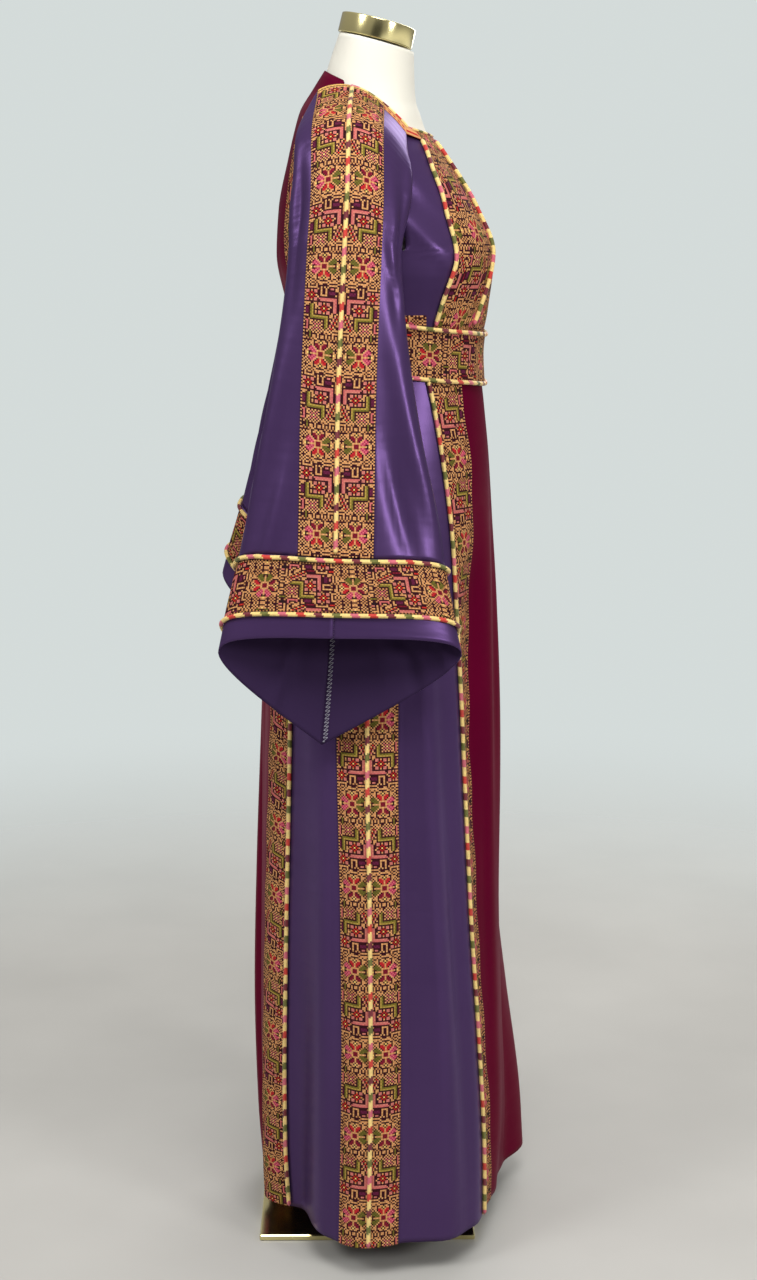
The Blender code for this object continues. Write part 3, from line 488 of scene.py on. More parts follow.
def sleeve_corners(row, side):
    """The five points of one row of SLEEVE, from the front seam over the top to the back seam."""
    share = (row / (ROWS - 1)) ** 2 if side > 0 else 0
    back, up = (share * swing for swing in LEFT_SWING)

    def corner(name):
        forward, across, height = (SLEEVE[f"{name}_{axis}"][row] for axis in "fah")
        return [side * across, back - forward, height + up]

    def seam(height, behind):
        height = np.array([height])
        angle = angle_at(height, side, armhole_length(height, side, behind), behind)
        return moved_out(plain_body, height, angle, BODY_STEPS, LAP)[0][0]

    if row >= PIT:
        ends = [corner("under"), corner("under")]
    else:
        ends = [seam(SLEEVE["under_h"][row], False), seam(SLEEVE["under_back"][row], True)]
    return np.array([ends[0], corner("front"), corner("top"), corner("back"), ends[1]])


CORNERS = {side: np.array([sleeve_corners(row, side) for row in range(ROWS)]) for side in (-1, 1)}


def sleeve_controls(drop, side):
    """The five points across the sleeve at each drop, as an array of five rows of points."""
    corners = CORNERS[side]
    across = [spline(corners[:, i], drop) for i in range(5)]
    for i in (0, 4):
        above = spline(corners[: PIT + 1, i], np.minimum(drop, PIT))
        below = spline(corners[PIT:, i], np.maximum(drop - PIT, 0))
        across[i] = np.where((drop >= PIT)[:, None], below, above)
    return np.array(across)


def plain_sleeve(side, drop, place):
    """Points of the sleeve without creases: drops are one list, places a row for each drop."""
    return spline(sleeve_controls(drop, side), place)


def sleeve_runs(side, drop):
    """Distance along the cloth from the front seam at each place of ROUND, a row for each drop."""
    return run_of(plain_sleeve(side, drop, np.tile(ROUND, (len(drop), 1))))


def place_at(side, drop, length):
    """The place at a distance from the shoulder line, the front negative, a row for each drop."""
    runs = sleeve_runs(side, drop)
    lines = np.broadcast_to(np.arange(len(drop), dtype=float)[:, None], length.shape)
    columns = inverted(runs, length + runs[:, SHOULDER], lines)
    return np.interp(columns, np.arange(len(ROUND)), ROUND)


def sleeve(side):
    """The surface of one sleeve with its creases, as a function of drops and places."""

    def plain(drop, place):
        return plain_sleeve(side, drop, place)

    def creased(drop, place):
        runs = sleeve_runs(side, drop)
        lines = np.arange(len(drop))[:, None]
        column = np.clip(place, 0, 4) * (len(ROUND) - 1) / 4
        low = np.clip(np.floor(column).astype(int), 0, len(ROUND) - 2)
        length = runs[lines, low] + (column - low) * (runs[lines, low + 1] - runs[lines, low])
        length = length - runs[:, SHOULDER]
        moved = np.zeros(place.shape)
        for crease in each_row(SLEEVE_CREASES):
            along = (drop[:, None] - crease["high"]) / (crease["low"] - crease["high"])
            middle = crease["start"] + (crease["end"] - crease["start"]) * along
            middle = middle + crease["bow"] * np.sin(np.pi * np.clip(along, 0, 1))
            moved += faded_ridge(crease, (length - middle) / crease["width"], along)
        edges = np.minimum(place, 4 - place)
        moved = moved * np.clip(edges / 0.25, 0, 1) * np.clip((drop[:, None] - 0.3) / 1.2, 0, 1)
        here, inward = moved_out(plain, drop, place, SLEEVE_SLOPES, 0.0)
        return here - inward * side * (moved * bpy.context.scene.thobe.crease)[..., None]

    return creased


def sleeve_out(side, drop, place, lift):
    """Points of a sleeve moved straight out by lift."""
    points, normal = moved_out(sleeve(side), drop, place, SLEEVE_SLOPES, 0.0)
    normal = -normal * side
    return points + normal * np.broadcast_to(lift, normal.shape[:-1])[..., None], normal


# ---- cross-stitch

# One repeat of the embroidery. T, B, L and R are the rosette's petals at its top, bottom, left and
# right; b is beige, y straw, s dull straw, k black, p rose, t pale rose, r red, m crimson, o olive
# and v plum. Dots are the ground, and echoed() fills some of them afterwards.
ROSETTE_HALF = (
    "....b..bbkbb..b....",
    "..bbb.bbkykbb.bbb..",
    ".b.bb.TTbkbTT.bb.b.",
    "..b.b.TTTbTTT.b.b..",
    ".b.LLb.TTbTT.bRR.b.",
    "..LLLLb.TbT.bRRRR..",
    ".bLLLLLbbbbbRRRRRb.",
    "bb..LLLbmmmbRRR..bb",
)
FLOWER = ("tt.b.tt", "tt.r.tt", "..r.r..", "br.y.rb", "..r.r..", "tt.r.tt", "tt.b.tt")
BLOSSOM = ("t.b.t", ".pvp.", "bvyvb", ".pvp.", "t.b.t")

# The stepped hooks between two rosettes: each a thread and the corners its line runs through.
HOOKS = (
    ("b", (21, 12), (26, 12), (26, 9), (22, 9)),
    ("p", (28, 13), (28, 3), (36, 3)),
    ("t", (29, 12), (29, 4), (36, 4)),
    ("t", (22, 5), (22, 6)),
    ("v", (24, 4), (24, 7), (25, 7), (25, 4)),
    ("o", (32, 18), (40, 18), (40, 9), (46, 9)),
    ("s", (32, 17), (39, 17), (39, 8), (45, 8)),
    ("v", (34, 20), (37, 20), (37, 21), (34, 21)),
    ("r", (20, 0), (22, 0)),
    ("b", (24, 0), (24, 1), (30, 1), (30, 0)),
    ("b", (20, 3), (20, 7)),
    ("m", (32, 0), (36, 0)),
    ("p", (42, 21), (42, 20), (47, 20), (47, 22)),
    ("b", (44, 22), (45, 22)),
    ("b", (49, 0), (49, 4), (52, 4)),
    ("t", (51, 0), (52, 0)),
    ("b", (50, 8), (52, 8)),
    ("b", (50, 13), (52, 13), (50, 13)),
    ("o", (49, 18), (52, 18)),
    ("b", (19, 15), (21, 15), (21, 20), (19, 20)),
    ("k", (50, 21), (51, 22)),
)
FLOWERS = ((FLOWER, 23, 15), (FLOWER, 31, 7), (BLOSSOM, 43, 12))
STAIR = (38, 1, 9)  # the first row, the first column and the steps of a slanting row of checks

ROSETTE = (*ROSETTE_HALF, "bykbbbbbmmmbbbbbkyb", *(r.replace("T", "B") for r in ROSETTE_HALF[::-1]))

THREADS = {  # the two screen tones that each thread is checked with, red, green and blue to 255
    ".": ((62, 13, 25), (50, 10, 21)),
    "b": ((210, 153, 99), (190, 134, 83)),
    "y": ((238, 206, 118), (230, 194, 104)),
    "s": ((172, 146, 66), (152, 126, 54)),
    "k": ((34, 18, 22), (30, 16, 20)),
    "p": ((198, 104, 98), (186, 92, 90)),
    "t": ((200, 118, 104), (188, 106, 96)),
    "r": ((190, 44, 32), (172, 34, 28)),
    "m": ((120, 18, 38), (104, 14, 32)),
    "o": ((116, 104, 36), (98, 88, 30)),
    "v": ((96, 26, 58), (82, 20, 48)),
    "T": ((126, 20, 42), (106, 16, 36)),
    "B": ((184, 36, 40), (160, 26, 36)),
    "L": ((104, 96, 36), (84, 78, 30)),
    "R": ((164, 38, 72), (204, 100, 112)),
}
CORD_COLOURS = {  # the wound threads of the pipings
    "y": (240, 208, 128), "p": (206, 96, 112), "o": (104, 104, 36), "m": (112, 26, 38), "r": (198, 50, 36),
}
LETTERS = "".join(THREADS)


def linear(colour):
    """A screen colour of three numbers to 255, as linear light."""
    share = np.array(colour, float) / 255
    return np.where(share <= 0.04045, share / 12.92, ((share + 0.055) / 1.055) ** 2.4)


def echoed(tile):
    """The tile with its empty cells filled by beige lines that echo the shapes.

    Rings of cells are grown round the shapes one step at a time, with the tile's edges joined,
    and every second ring is beige with a gap wherever a slanting count comes round to nothing.
    The cells inside the rosette stay as drawn.
    """
    shapes = tile != LETTERS.index(".")
    reached, filled = shapes.copy(), tile.copy()
    down, across = np.indices(tile.shape)
    gap = (3 * down + 5 * across) % 5 == 0
    for ring in range(1, 8):
        grown = reached.copy()
        for axis in (0, 1):
            for step in (-1, 1):
                grown |= np.roll(reached, step, axis=axis)
        new = grown & ~reached
        if ring % 2 == 0:
            filled[new & ~gap] = LETTERS.index("b")
        reached = grown
    inside = slice(1, len(ROSETTE) - 1), slice(3, TILE_WIDE - 3)
    filled[inside] = tile[inside]
    return filled


def one_repeat():
    """The rosette, then its hooks and flowers, with a slanting row of checks beside the piping."""
    tile = np.full((TILE_LONG, TILE_WIDE), LETTERS.index("."))

    def stamp(rows, top, left):
        cells = np.array([[LETTERS.index(c) for c in row] for row in rows])
        tile[top : top + len(rows), left : left + len(rows[0])] = cells

    stamp(ROSETTE, 0, (TILE_WIDE - len(ROSETTE[0])) // 2)
    for thread, *corners in HOOKS:
        for (row, column), (last_row, last_column) in zip(corners, corners[1:]):
            rows, columns = sorted((row, last_row)), sorted((column, last_column))
            tile[rows[0] : rows[1] + 1, columns[0] : columns[1] + 1] = LETTERS.index(thread)
    for flower, top, left in FLOWERS:
        stamp(flower, top, left)
    top, left, steps = STAIR
    for step in range(steps):
        tile[top + step, left + step // 2] = LETTERS.index("rb"[step % 2])
        tile[top + step, left + step // 2 + 2] = LETTERS.index("bp"[step % 2])
    return tile


TILE = echoed(one_repeat())


def chart(down, across, columns, start=0, wide=False, border=(True, True)):
    """The thread of each stitch of a band: the tile, centred across it, between its borders.

    down and across count the stitches, and a wide field shifts every second repeat by half.
    """
    column = across - (columns - TILE_WIDE) // 2
    shift = (column // TILE_WIDE % 2) * (TILE_LONG // 2) if wide else 0
    threads = TILE[(down + start + shift) % TILE_LONG, column % TILE_WIDE]
    beige, ground = LETTERS.index("b"), LETTERS.index(".")
    for wanted, edge in zip(border, (0, columns - 1)):
        if wanted:
            threads = np.where(across == edge, np.where(down % 2 == 0, beige, ground), threads)
    return threads


def thread_colours(threads, seed):
    """Red, green, blue and cover of each stitch, checked in two tones and a little uneven."""
    tones = np.array([[linear(tone) for tone in THREADS[letter]] for letter in LETTERS])
    down, across = np.indices(threads.shape)
    chance = np.random.default_rng(seed)
    colours = tones[threads, (down + across) % 2]
    colours = colours * chance.normal(1.0, 0.07, threads.shape).clip(0.8, 1.2)[..., None]
    cover = (threads != LETTERS.index("."))[..., None]
    return np.concatenate([colours, cover], axis=-1)


# ---- meshes


def built(name, vertices, faces, uv=None, colours=None):
    """A smooth mesh of these faces, with a UV point and a colour at each corner where given."""
    mesh = bpy.data.meshes.new(name)
    mesh.from_pydata(vertices.reshape(-1, 3).tolist(), [], faces)
    if uv is not None:
        layer = mesh.uv_layers.new(name="cloth")
        layer.uv.foreach_set("vector", uv.reshape(-1).astype(np.float32))
    if colours is not None:
        layer = mesh.color_attributes.new("thread", "FLOAT_COLOR", "CORNER")
        layer.data.foreach_set("color", colours.reshape(-1).astype(np.float32))
    mesh.update(calc_edges=True)
    mesh.validate()
    mesh.shade_smooth()
    return mesh


def numbered(down, across, wide):
    """A grid of numbers; where it is wider than its points, it closes on its first column."""
    return np.arange(down)[:, None] * across + np.arange(wide)[None, :] % across


def corners_of(numbers):
    """The four corners of each cell of a grid of numbers."""
    corners = numbers[:-1, :-1], numbers[:-1, 1:], numbers[1:, 1:], numbers[1:, :-1]
    return np.stack(corners, axis=-1).reshape(-1, 4)


def grid_mesh(name, points, wrap=False, flip=False, uv=None):
    """Quads through a grid of points, closed round where it wraps, with its UV at each corner."""
    down, across = points.shape[:2]
    turn = -1 if flip else 1
    faces = corners_of(numbered(down, across, across + wrap))[:, ::turn]
    if uv is not None:
        uv = uv.reshape(-1, 2)[corners_of(numbered(*uv.shape[:2], uv.shape[1]))[:, ::turn]]
    return built(name, points, faces.tolist(), uv)


def rim_cells(line, coarse, line_uv, stops, turned):
    """The cells that join a fine edge of a wall to its coarse one, as vertices and as UV points."""
    for k, (first, last) in enumerate(zip(stops[:-1], stops[1:])):
        run = slice(first, last + 1)
        cell = [*line[run].tolist(), int(coarse[k + 1]), int(coarse[k])]
        places = [*line_uv[run], line_uv[last], line_uv[first]]
        yield (cell[::-1], places[::-1]) if turned else (cell, places)


def every_second(count):
    """0, 2, 4 and so on, and always the last of the count."""
    return np.append(np.arange(0, count - 1, 2), count - 1)


def stitched_mesh(name, points, thickness, uv, colours, wrap=False, flip=False):
    """A wall with a cell for each stitch outside and one for two by two inside, closed by its rim.

    The outside lies off the points by the thickness, along the cross product of the grid's two
    directions. A flipped grid's outside is on the other side.
    """
    down, across = points.shape[:2]
    if wrap:
        beside = np.concatenate([points[:, -1:], points, points[:, :1]], axis=1)
        along = beside[:, 2:] - beside[:, :-2]
    else:
        along = np.gradient(points, axis=1)
    outward = np.cross(along, np.gradient(points, axis=0))
    outward *= (-1 if flip else 1) / np.linalg.norm(outward, axis=2, keepdims=True)
    wide = uv.shape[1]
    rows, columns = every_second(down), every_second(wide)
    inside = points[rows][:, columns[:-1] if wrap else columns]
    fine = numbered(down, across, wide)
    coarse = down * across + numbered(len(rows), inside.shape[1], len(columns))
    place = numbered(down, wide, wide)
    cell = numbered(down - 1, wide - 1, wide - 1)
    faces = [*corners_of(fine).tolist(), *corners_of(coarse)[:, ::-1].tolist()]
    places = [*corners_of(place).tolist(), *corners_of(place[rows][:, columns])[:, ::-1].tolist()]
    cells = [*cell.reshape(-1), *cell[rows[:-1]][:, columns[:-1]].reshape(-1)]
    edges = [(np.s_[0, :], columns, True), (np.s_[-1, :], columns, False)]
    if not wrap:
        edges += [(np.s_[:, 0], rows, False), (np.s_[:, -1], rows, True)]
    for edge, stops, turned in edges:
        for corners, spots in rim_cells(fine[edge], coarse[edge], place[edge], stops, turned):
            faces.append(corners)
            places.append(spots)
        cells += list(cell[edge][stops[:-1]])
    if flip:
        faces, places = [face[::-1] for face in faces], [spots[::-1] for spots in places]
    vertices = np.concatenate([(points + thickness * outward).reshape(-1, 3), inside.reshape(-1, 3)])
    each = np.repeat(cells, [len(face) for face in faces])
    return built(name, vertices, faces, uv.reshape(-1, 2)[np.concatenate(places)],
                 colours.reshape(-1, 4)[each])


def piece(name, mesh, finishes, slot):
    """Puts a finished mesh in the scene, in place of its solid where it has one."""
    made = bpy.data.objects.new(f"thobe_{name}", mesh)
    for look in finishes:
        mesh.materials.append(look)
    bpy.context.scene.collection.objects.link(made)
    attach(made, "root")
    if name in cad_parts:
        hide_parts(name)
    return made


def welded(made, distance):
    """Joins the points of a piece that meet, at its poles and where a ring closes."""
    weld = made.modifiers.new("Join", "WELD")
    weld.merge_threshold = distance


def cut_size(points):
    """The flat width, length and area of a grid of cloth: its longest row, column and all cells."""
    rows = np.linalg.norm(np.diff(points, axis=1), axis=2).sum(axis=1).max()
    columns = np.linalg.norm(np.diff(points, axis=0), axis=2).sum(axis=0).max()
    across, along = points[:-1, 1:] - points[:-1, :-1], points[1:, :-1] - points[:-1, :-1]
    area = np.linalg.norm(np.cross(across, along), axis=2).sum()
    return (float(rows), float(columns)), float(min(area, rows * columns))


def declared(points):
    """Works out the flat size and area of a sheet of cloth's cut, and does nothing more with them."""
    flat, area = cut_size(points)


def satin_sheet(name, colour, points, uv, flip=False):
    """One sheet of satin: a grid thickened outwards, with its wrong side inside."""
    finishes = [finish(f"{colour} satin"), finish(f"{colour} wrong side")]
    made = piece(name, grid_mesh(name, points, flip=flip, uv=uv), finishes, SATIN_SLOTS[colour])
    solid = made.modifiers.new("Cloth", "SOLIDIFY")
    solid.thickness, solid.offset, solid.material_offset = SATIN_THICK, 1, 1
    declared(points)


def stitched_sheet(name, points, threads, seed, thickness=BAND_THICK, wrap=False, flip=False):
    """One embroidered sheet: a thread for each cell of its grid, counted off by the UV."""
    down, across = threads.shape
    uv = np.stack(np.meshgrid(np.arange(across + 1.0), np.arange(down + 1.0)), axis=-1)
    mesh = stitched_mesh(name, points, thickness, uv, thread_colours(threads, seed), wrap, flip)
    made = piece(name, mesh, [finish("cross-stitch")], "embroidery")
    closed = np.concatenate([points, points[:, :1]], axis=1) if wrap else points
    declared(closed)


def spaced(length, step):
    """How many steps of about this size fit a length."""
    return max(2, int(round(length / step)))


# ---- materials


def node(tree, kind, inputs=(), **settings):
    """A shader node whose inputs take a number, a colour or another node's output."""
    made = tree.nodes.new(kind)
    for name, value in settings.items():
        setattr(made, name, value)
    for socket, value in dict(inputs).items():
        if isinstance(value, bpy.types.NodeSocket):
            tree.links.new(value, made.inputs[socket])
        else:
            made.inputs[socket].default_value = value
    return made


def maths(tree, operation, *values):
    """The result of one sum on up to three numbers or outputs."""
    return node(tree, "ShaderNodeMath", enumerate(values), operation=operation).outputs[0]


def mixed(tree, share, first, second):
    """Two colours mixed."""
    return node(tree, "ShaderNodeMix", {0: share, 6: first, 7: second}, data_type="RGBA").outputs[2]


def noise(tree, place, scale, detail=2.0):
    """Soft noise of this scale at a place."""
    inputs = {"Vector": place, "Scale": scale, "Detail": detail}
    return node(tree, "ShaderNodeTexNoise", inputs).outputs["Fac"]


def ranged(tree, value, low, high, first, last, **settings):
    """A value from low to high, moved to run from first to last."""
    inputs = {0: value, 1: low, 2: high, 3: first, 4: last}
    return node(tree, "ShaderNodeMapRange", inputs, **settings).outputs[0]


def scaled(tree, vector, factor):
    """A colour or vector times a number or another one."""
    return node(tree, "ShaderNodeVectorMath", {0: vector, 1: factor}, operation="MULTIPLY").outputs[0]


def started(name, **sockets):
    """A new material: itself, its tree, its shader with sockets set by name, and its coordinates."""
    made = bpy.data.materials.new(name)
    made.use_nodes = True
    tree = made.node_tree
    shader = tree.nodes["Principled BSDF"]
    for socket, value in sockets.items():
        shader.inputs[socket.replace("_", " ")].default_value = value
    return made, tree, shader, node(tree, "ShaderNodeTexCoord").outputs


def coloured(tree, shader, colour):
    """Gives the shader its base colour."""
    tree.links.new(colour, shader.inputs["Base Color"])


def clouded(tree, shader, share, dark, light):
    """A base colour that drifts between two tones by a share."""
    coloured(tree, shader, mixed(tree, share, (*dark, 1), (*light, 1)))


def bumped(tree, shader, height, distance, strength):
    """Raises the surface by a height, and returns the bump."""
    bump = node(tree, "ShaderNodeBump", {"Height": height, "Distance": distance, "Strength": strength})
    tree.links.new(bump.outputs[0], shader.inputs["Normal"])
    return bump


# Each side of each satin: its two tones as shares of its colour, and how it takes the light.
SATIN_LOOKS = {  # dark, light, roughness, sheen, shine, metal, lustre
    "purple satin": (0.86, 1.12, 0.32, 0.04, 0.28, 0.42, (0.64, 0.46, 0.95)),
    "purple wrong side": (0.44, 0.53, 0.70, 0.02, 0.14, 0.0, (0.7, 0.55, 1.0)),
    "maroon satin": (0.84, 1.14, 0.40, 0.0, 0.03, 0.30, (1.0, 0.20, 0.40)),
    "maroon wrong side": (0.66, 0.80, 0.70, 0.0, 0.10, 0.0, (1.0, 0.5, 0.6)),
}
SATIN_SLOTS = {"purple": "purple_satin", "maroon": "maroon_crepe"}


def satin(name):
    """Crepe-backed satin: two close tones in soft clouds, a fine pebbled weave and faint ripples.

    The weave is noise stretched along the UV's length, which also varies the roughness, and the
    ripples are the same with waves some centimetres long.
    """
    dark, light, roughness, sheen, shine, metal, lustre = SATIN_LOOKS[name]
    colour = np.array(getattr(bpy.context.scene.thobe, name.split()[0]))
    made, tree, shader, place = started(
        name, Sheen_Weight=sheen, Sheen_Roughness=0.3, Sheen_Tint=(*lustre, 1),
        Specular_IOR_Level=shine, Specular_Tint=(*lustre, 1), Anisotropic=0.35, Metallic=metal,
    )
    clouded(tree, shader, noise(tree, place["Object"], 7.0, 3.0), dark * colour, light * colour)
    stretched = (
        node(tree, "ShaderNodeMapping", {"Vector": place["UV"], "Scale": scale}).outputs[0]
        for scale in ((2200, 700, 1), (7, 34, 1))
    )
    weave, ripples = (noise(tree, vector, 1.0) for vector in stretched)
    smooth = maths(tree, "MULTIPLY_ADD", weave, 0.12, roughness - 0.06)
    tree.links.new(smooth, shader.inputs["Roughness"])
    soft = node(tree, "ShaderNodeBump", {"Height": ripples, "Distance": 0.004, "Strength": 0.2})
    tree.links.new(soft.outputs[0], bumped(tree, shader, weave, 0.00005, 0.4).inputs["Normal"])
    return made


def cross_stitch(name):
    """Stitches on their cloth: the colour of each cell, with its crossing threads raised.

    Each cell's UV runs from 0 to 1; the height falls off with the distance to its two diagonals.
    The colour is darkened as the height falls, a painted shade between the threads.
    """
    made, tree, shader, place = started(name, Roughness=0.8, Specular_IOR_Level=0.14)
    thread = node(tree, "ShaderNodeAttribute", attribute_name="thread")
    cell = node(tree, "ShaderNodeSeparateXYZ", {0: place["UV"]})
    across, down = (maths(tree, "FRACT", cell.outputs[i]) for i in (0, 1))
    rising = maths(tree, "ABSOLUTE", maths(tree, "SUBTRACT", across, down))
    falling = maths(tree, "ABSOLUTE", maths(tree, "SUBTRACT", maths(tree, "ADD", across, down), 1.0))
    nearest = maths(tree, "MINIMUM", rising, falling)
    crown = maths(tree, "SUBTRACT", 1.0, maths(tree, "MULTIPLY", nearest, 1.6))
    height = maths(tree, "MULTIPLY", crown, thread.outputs["Alpha"])
    # Painted shade: the thread colour darkens from the crowns of the crossing threads towards the cell's
    # corners and edges.
    mottle_and_painted_shade = maths(tree, "MULTIPLY_ADD", height, 0.34, 0.72)
    coloured(tree, shader, scaled(tree, thread.outputs["Color"], mottle_and_painted_shade))
    bumped(tree, shader, height, 0.0005, 0.8)
    return made


BLOCKS, BLOCK_PITCH, BLOCK_SHARE = "pomr", 0.022, 0.44  # the rest of each pitch is straw
TURN_PITCH, TURN_SLANT = 0.0011, 0.0025


def corded(name):
    """Piping wound with thread: straw yellow with slanted blocks of colour, ribbed by its turns.

    The UV runs in metres along the cord and from 0 to 1 round it.
    """
    made, tree, shader, place = started(name, Roughness=0.5, Sheen_Weight=0.2, Specular_IOR_Level=0.4)
    run = node(tree, "ShaderNodeSeparateXYZ", {0: place["UV"]})
    slanted = maths(tree, "MULTIPLY_ADD", run.outputs[1], TURN_SLANT, run.outputs[0])
    turn = maths(tree, "FRACT", maths(tree, "MULTIPLY", slanted, 1 / (len(BLOCKS) * BLOCK_PITCH)))
    ramp = node(tree, "ShaderNodeValToRGB", {0: turn})
    ramp.color_ramp.interpolation = "CONSTANT"
    stops = ramp.color_ramp.elements
    for i, block in enumerate(BLOCKS):
        for share, letter in ((0.0, block), (BLOCK_SHARE, "y")):
            position = (i + share) / len(BLOCKS)
            stop = stops[0] if position == 0 else stops.new(position)
            stop.color = (*linear(CORD_COLOURS[letter]), 1)
    stops.remove(stops[-1])
    # Uneven tone at random along the cord, from noise.
    mottle_and_painted_shade = maths(tree, "MULTIPLY_ADD", noise(tree, place["Object"], 260.0), 0.5, 0.72)
    coloured(tree, shader, scaled(tree, ramp.outputs[0], mottle_and_painted_shade))
    ribs = maths(tree, "SINE", maths(tree, "MULTIPLY", slanted, 2 * math.pi / TURN_PITCH))
    bumped(tree, shader, ribs, 0.00015, 0.7)
    return made


def linen(name):
    """Plain off-white cloth stretched tight: two crossed sets of fine threads."""
    made, tree, shader, place = started(name, Roughness=0.8, Sheen_Weight=0.1)
    clouded(tree, shader, noise(tree, place["Object"], 9.0), (0.70, 0.67, 0.57), (0.80, 0.78, 0.69))
    threads = {"Vector": place["UV"], "Scale": 260.0, "Distortion": 1.0}
    sets = [
        node(tree, "ShaderNodeTexWave", threads, bands_direction=direction).outputs["Fac"]
        for direction in ("X", "Y")
    ]
    bumped(tree, shader, maths(tree, "ADD", *sets), 0.00012, 0.4)
    return made


def gold(name):
    """Mirror-polished gold-coloured metal, with faint smears in its polish."""
    made, tree, shader, place = started(name, Base_Color=(0.84, 0.74, 0.36, 1), Metallic=1.0)
    rough = maths(tree, "MULTIPLY_ADD", noise(tree, place["Object"], 14.0, 4.0), 0.10, 0.11)
    tree.links.new(rough, shader.inputs["Roughness"])
    return made


def overlock_thread(name):
    """Twisted grey sewing thread."""
    made, tree, shader, place = started(name, Roughness=0.6, Sheen_Weight=0.3)
    colour = np.array((0.36, 0.34, 0.42))
    clouded(tree, shader, noise(tree, place["Object"], 900.0), 0.7 * colour, colour)
    return made


MAKERS = {
    **dict.fromkeys(SATIN_LOOKS, satin),
    "cross-stitch": cross_stitch,
    "corded piping": corded,
    "linen": linen,
    "polished gold": gold,
    "overlock thread": overlock_thread,
}


def finish(name):
    """The material of this name, made the first time it is asked for."""
    return bpy.data.materials.get(name) or MAKERS[name](name)


# ---- panels of the body


def front_band_edge(height):
    """Distance along the cloth from the centre front to the front band."""
    return FRONT_PANEL + FRONT_FLARE * np.maximum(0.0, FRONT_PANEL_TOP - height)


def back_band_edge(height):
    """Distance along the cloth from the centre back to the back band."""
    return BACK_PANEL + BACK_FLARE * np.maximum(0.0, height - BACK_PANEL_TOP)


def within_armhole(length, height, side):
    """A distance from the centre back, or that of the armhole seam where it is less."""
    return np.where(height > ARMPIT, np.minimum(length, armhole_length(height, side, True)), length)


def side_edge(height, side, behind):
    """Where the side panel ends: at the side band on the skirt and at the side seam above it."""
    band = np.interp(height, (SIDE_BAND_TOP + 0.003, WAIST - 0.005), (SIDE_BAND, 0.0))
    seam = side_length(height, side, behind) - band
    return np.where(height > ARMPIT, armhole_length(height, side, behind), seam)


def chest(column):
    """A seam of the chest panel: its distance from the centre front, as a function of the height."""
    return lambda height: read(CHEST, column, height)


def front_neck(length):
    """The front neckline's height at this distance along the cloth from the centre front."""
    return NECK_FRONT + NECK_RISE * (length / NECK_HALF) ** 2


def level(height):
    """A top edge that is level."""
    return lambda share: np.full_like(np.asarray(share, float), height)


def neckline(first, last):
    """A top edge that follows the front neckline between two distances from the centre front."""
    return lambda share: front_neck(first + (last - first) * share)


def panel_grid(side, behind, inner, outer, low, high, down, across):
    """Heights, angles and lengths of a panel's points, bottom to top and right to left.

    The height runs from low to the top edge's own height, and the length along the cloth from
    the inner seam to the outer one. A panel over the centre has side 0, and lengths on both.
    """
    share = np.linspace(-1 if side == 0 else 0, 1, across + 1)[None, :]
    climb = np.linspace(0, 1, down + 1)[:, None]
    height = low + climb * (high(np.abs(share)) - low)
    if side:
        length = inner(height) + share * (outer(height) - inner(height))
        angle = angle_at(height, side, length, behind)
    else:
        halves = []
        for half in (-1, 1):
            length = np.abs(share) * outer(height, half)
            halves.append((length, angle_at(height, half, length, behind)))
        length = np.where(share < 0, -halves[0][0], halves[1][0])
        angle = np.where(share < 0, halves[0][1], halves[1][1])
        if behind:
            angle = np.where(angle < 0, angle + 2 * math.pi, angle)
    if angle[0, 0] > angle[0, -1]:
        height, angle, length = height[:, ::-1], angle[:, ::-1], length[:, ::-1]
    return height, angle, length


def satin_panel(name, colour, side, behind, inner, outer, low, high):
    """A plain panel, run on a little way under its neighbours' bands."""
    step = bpy.context.scene.thobe.cloth_step
    test = np.array([[0.5 * (low + MEASURE_TOP)]])
    wide = float(np.ravel(outer(test) - inner(test) if side else 2 * outer(test, 1))[0])
    down = spaced(float(np.max(high(np.zeros(1)))) - low, step)
    height, angle, length = panel_grid(side, behind, inner, outer, low, high, down, spaced(wide, step))
    satin_sheet(name, colour, body_out(height, angle, 0.0)[0], np.stack([length, height], axis=-1))


def stitched_panel(name, side, behind, inner, outer, low, high, start=0, wide=False, scallop=None,
                   mirrored=False, shorter=1.0):
    """An embroidered panel with a quad for each stitch, and the chart counted along the cloth.

    A scalloped panel's inner edge swells by a cosine once for each repeat of the chart, and the
    stitches beside it rise a little over the satin.
    """
    stitch = bpy.context.scene.thobe.stitch
    test = np.linspace(low, float(np.min(high(np.zeros(1)))), 9)[:, None]
    wide_most = float(np.max(outer(test) - inner(test) if side else 2 * outer(test, 1)))
    down = spaced(float(np.max(high(np.zeros(1)))) - low, stitch * shorter)
    across = spaced(wide_most, stitch)
    if not side:
        across += across % 2
    edge = inner
    if scallop is not None:
        def edge(height):
            turns = ((height - low) / (stitch * shorter) - scallop) / TILE_LONG
            return inner(height) - SCALLOP_OUT - SCALLOP_DEEP * np.cos(2 * np.pi * turns)
    height, angle, length = panel_grid(side, behind, edge, outer, low, high, down, across)
    inwards = np.zeros_like(height)
    if scallop is not None:
        inwards = np.clip(1 - (np.abs(length) - edge(height)) / (SCALLOP_STITCHES * stitch), 0, 1)
    points = body_out(height, angle, BAND_LIFT + SCALLOP_LIFT * inwards)[0]
    rows, columns = np.indices((down, across))
    if side and not wide:
        threads = chart(rows, columns[:, ::-1] if mirrored else columns, across, start)
    else:
        middle = 0.5 * (np.abs(length[:-1, 1:]) + np.abs(length[:-1, :-1]))
        columns = np.floor(middle / stitch).astype(int)
        threads = chart(rows, columns, TILE_WIDE, start, wide=True, border=(False, False))
    stitched_sheet(name, points, threads, len(name) + down)


# ---- cords


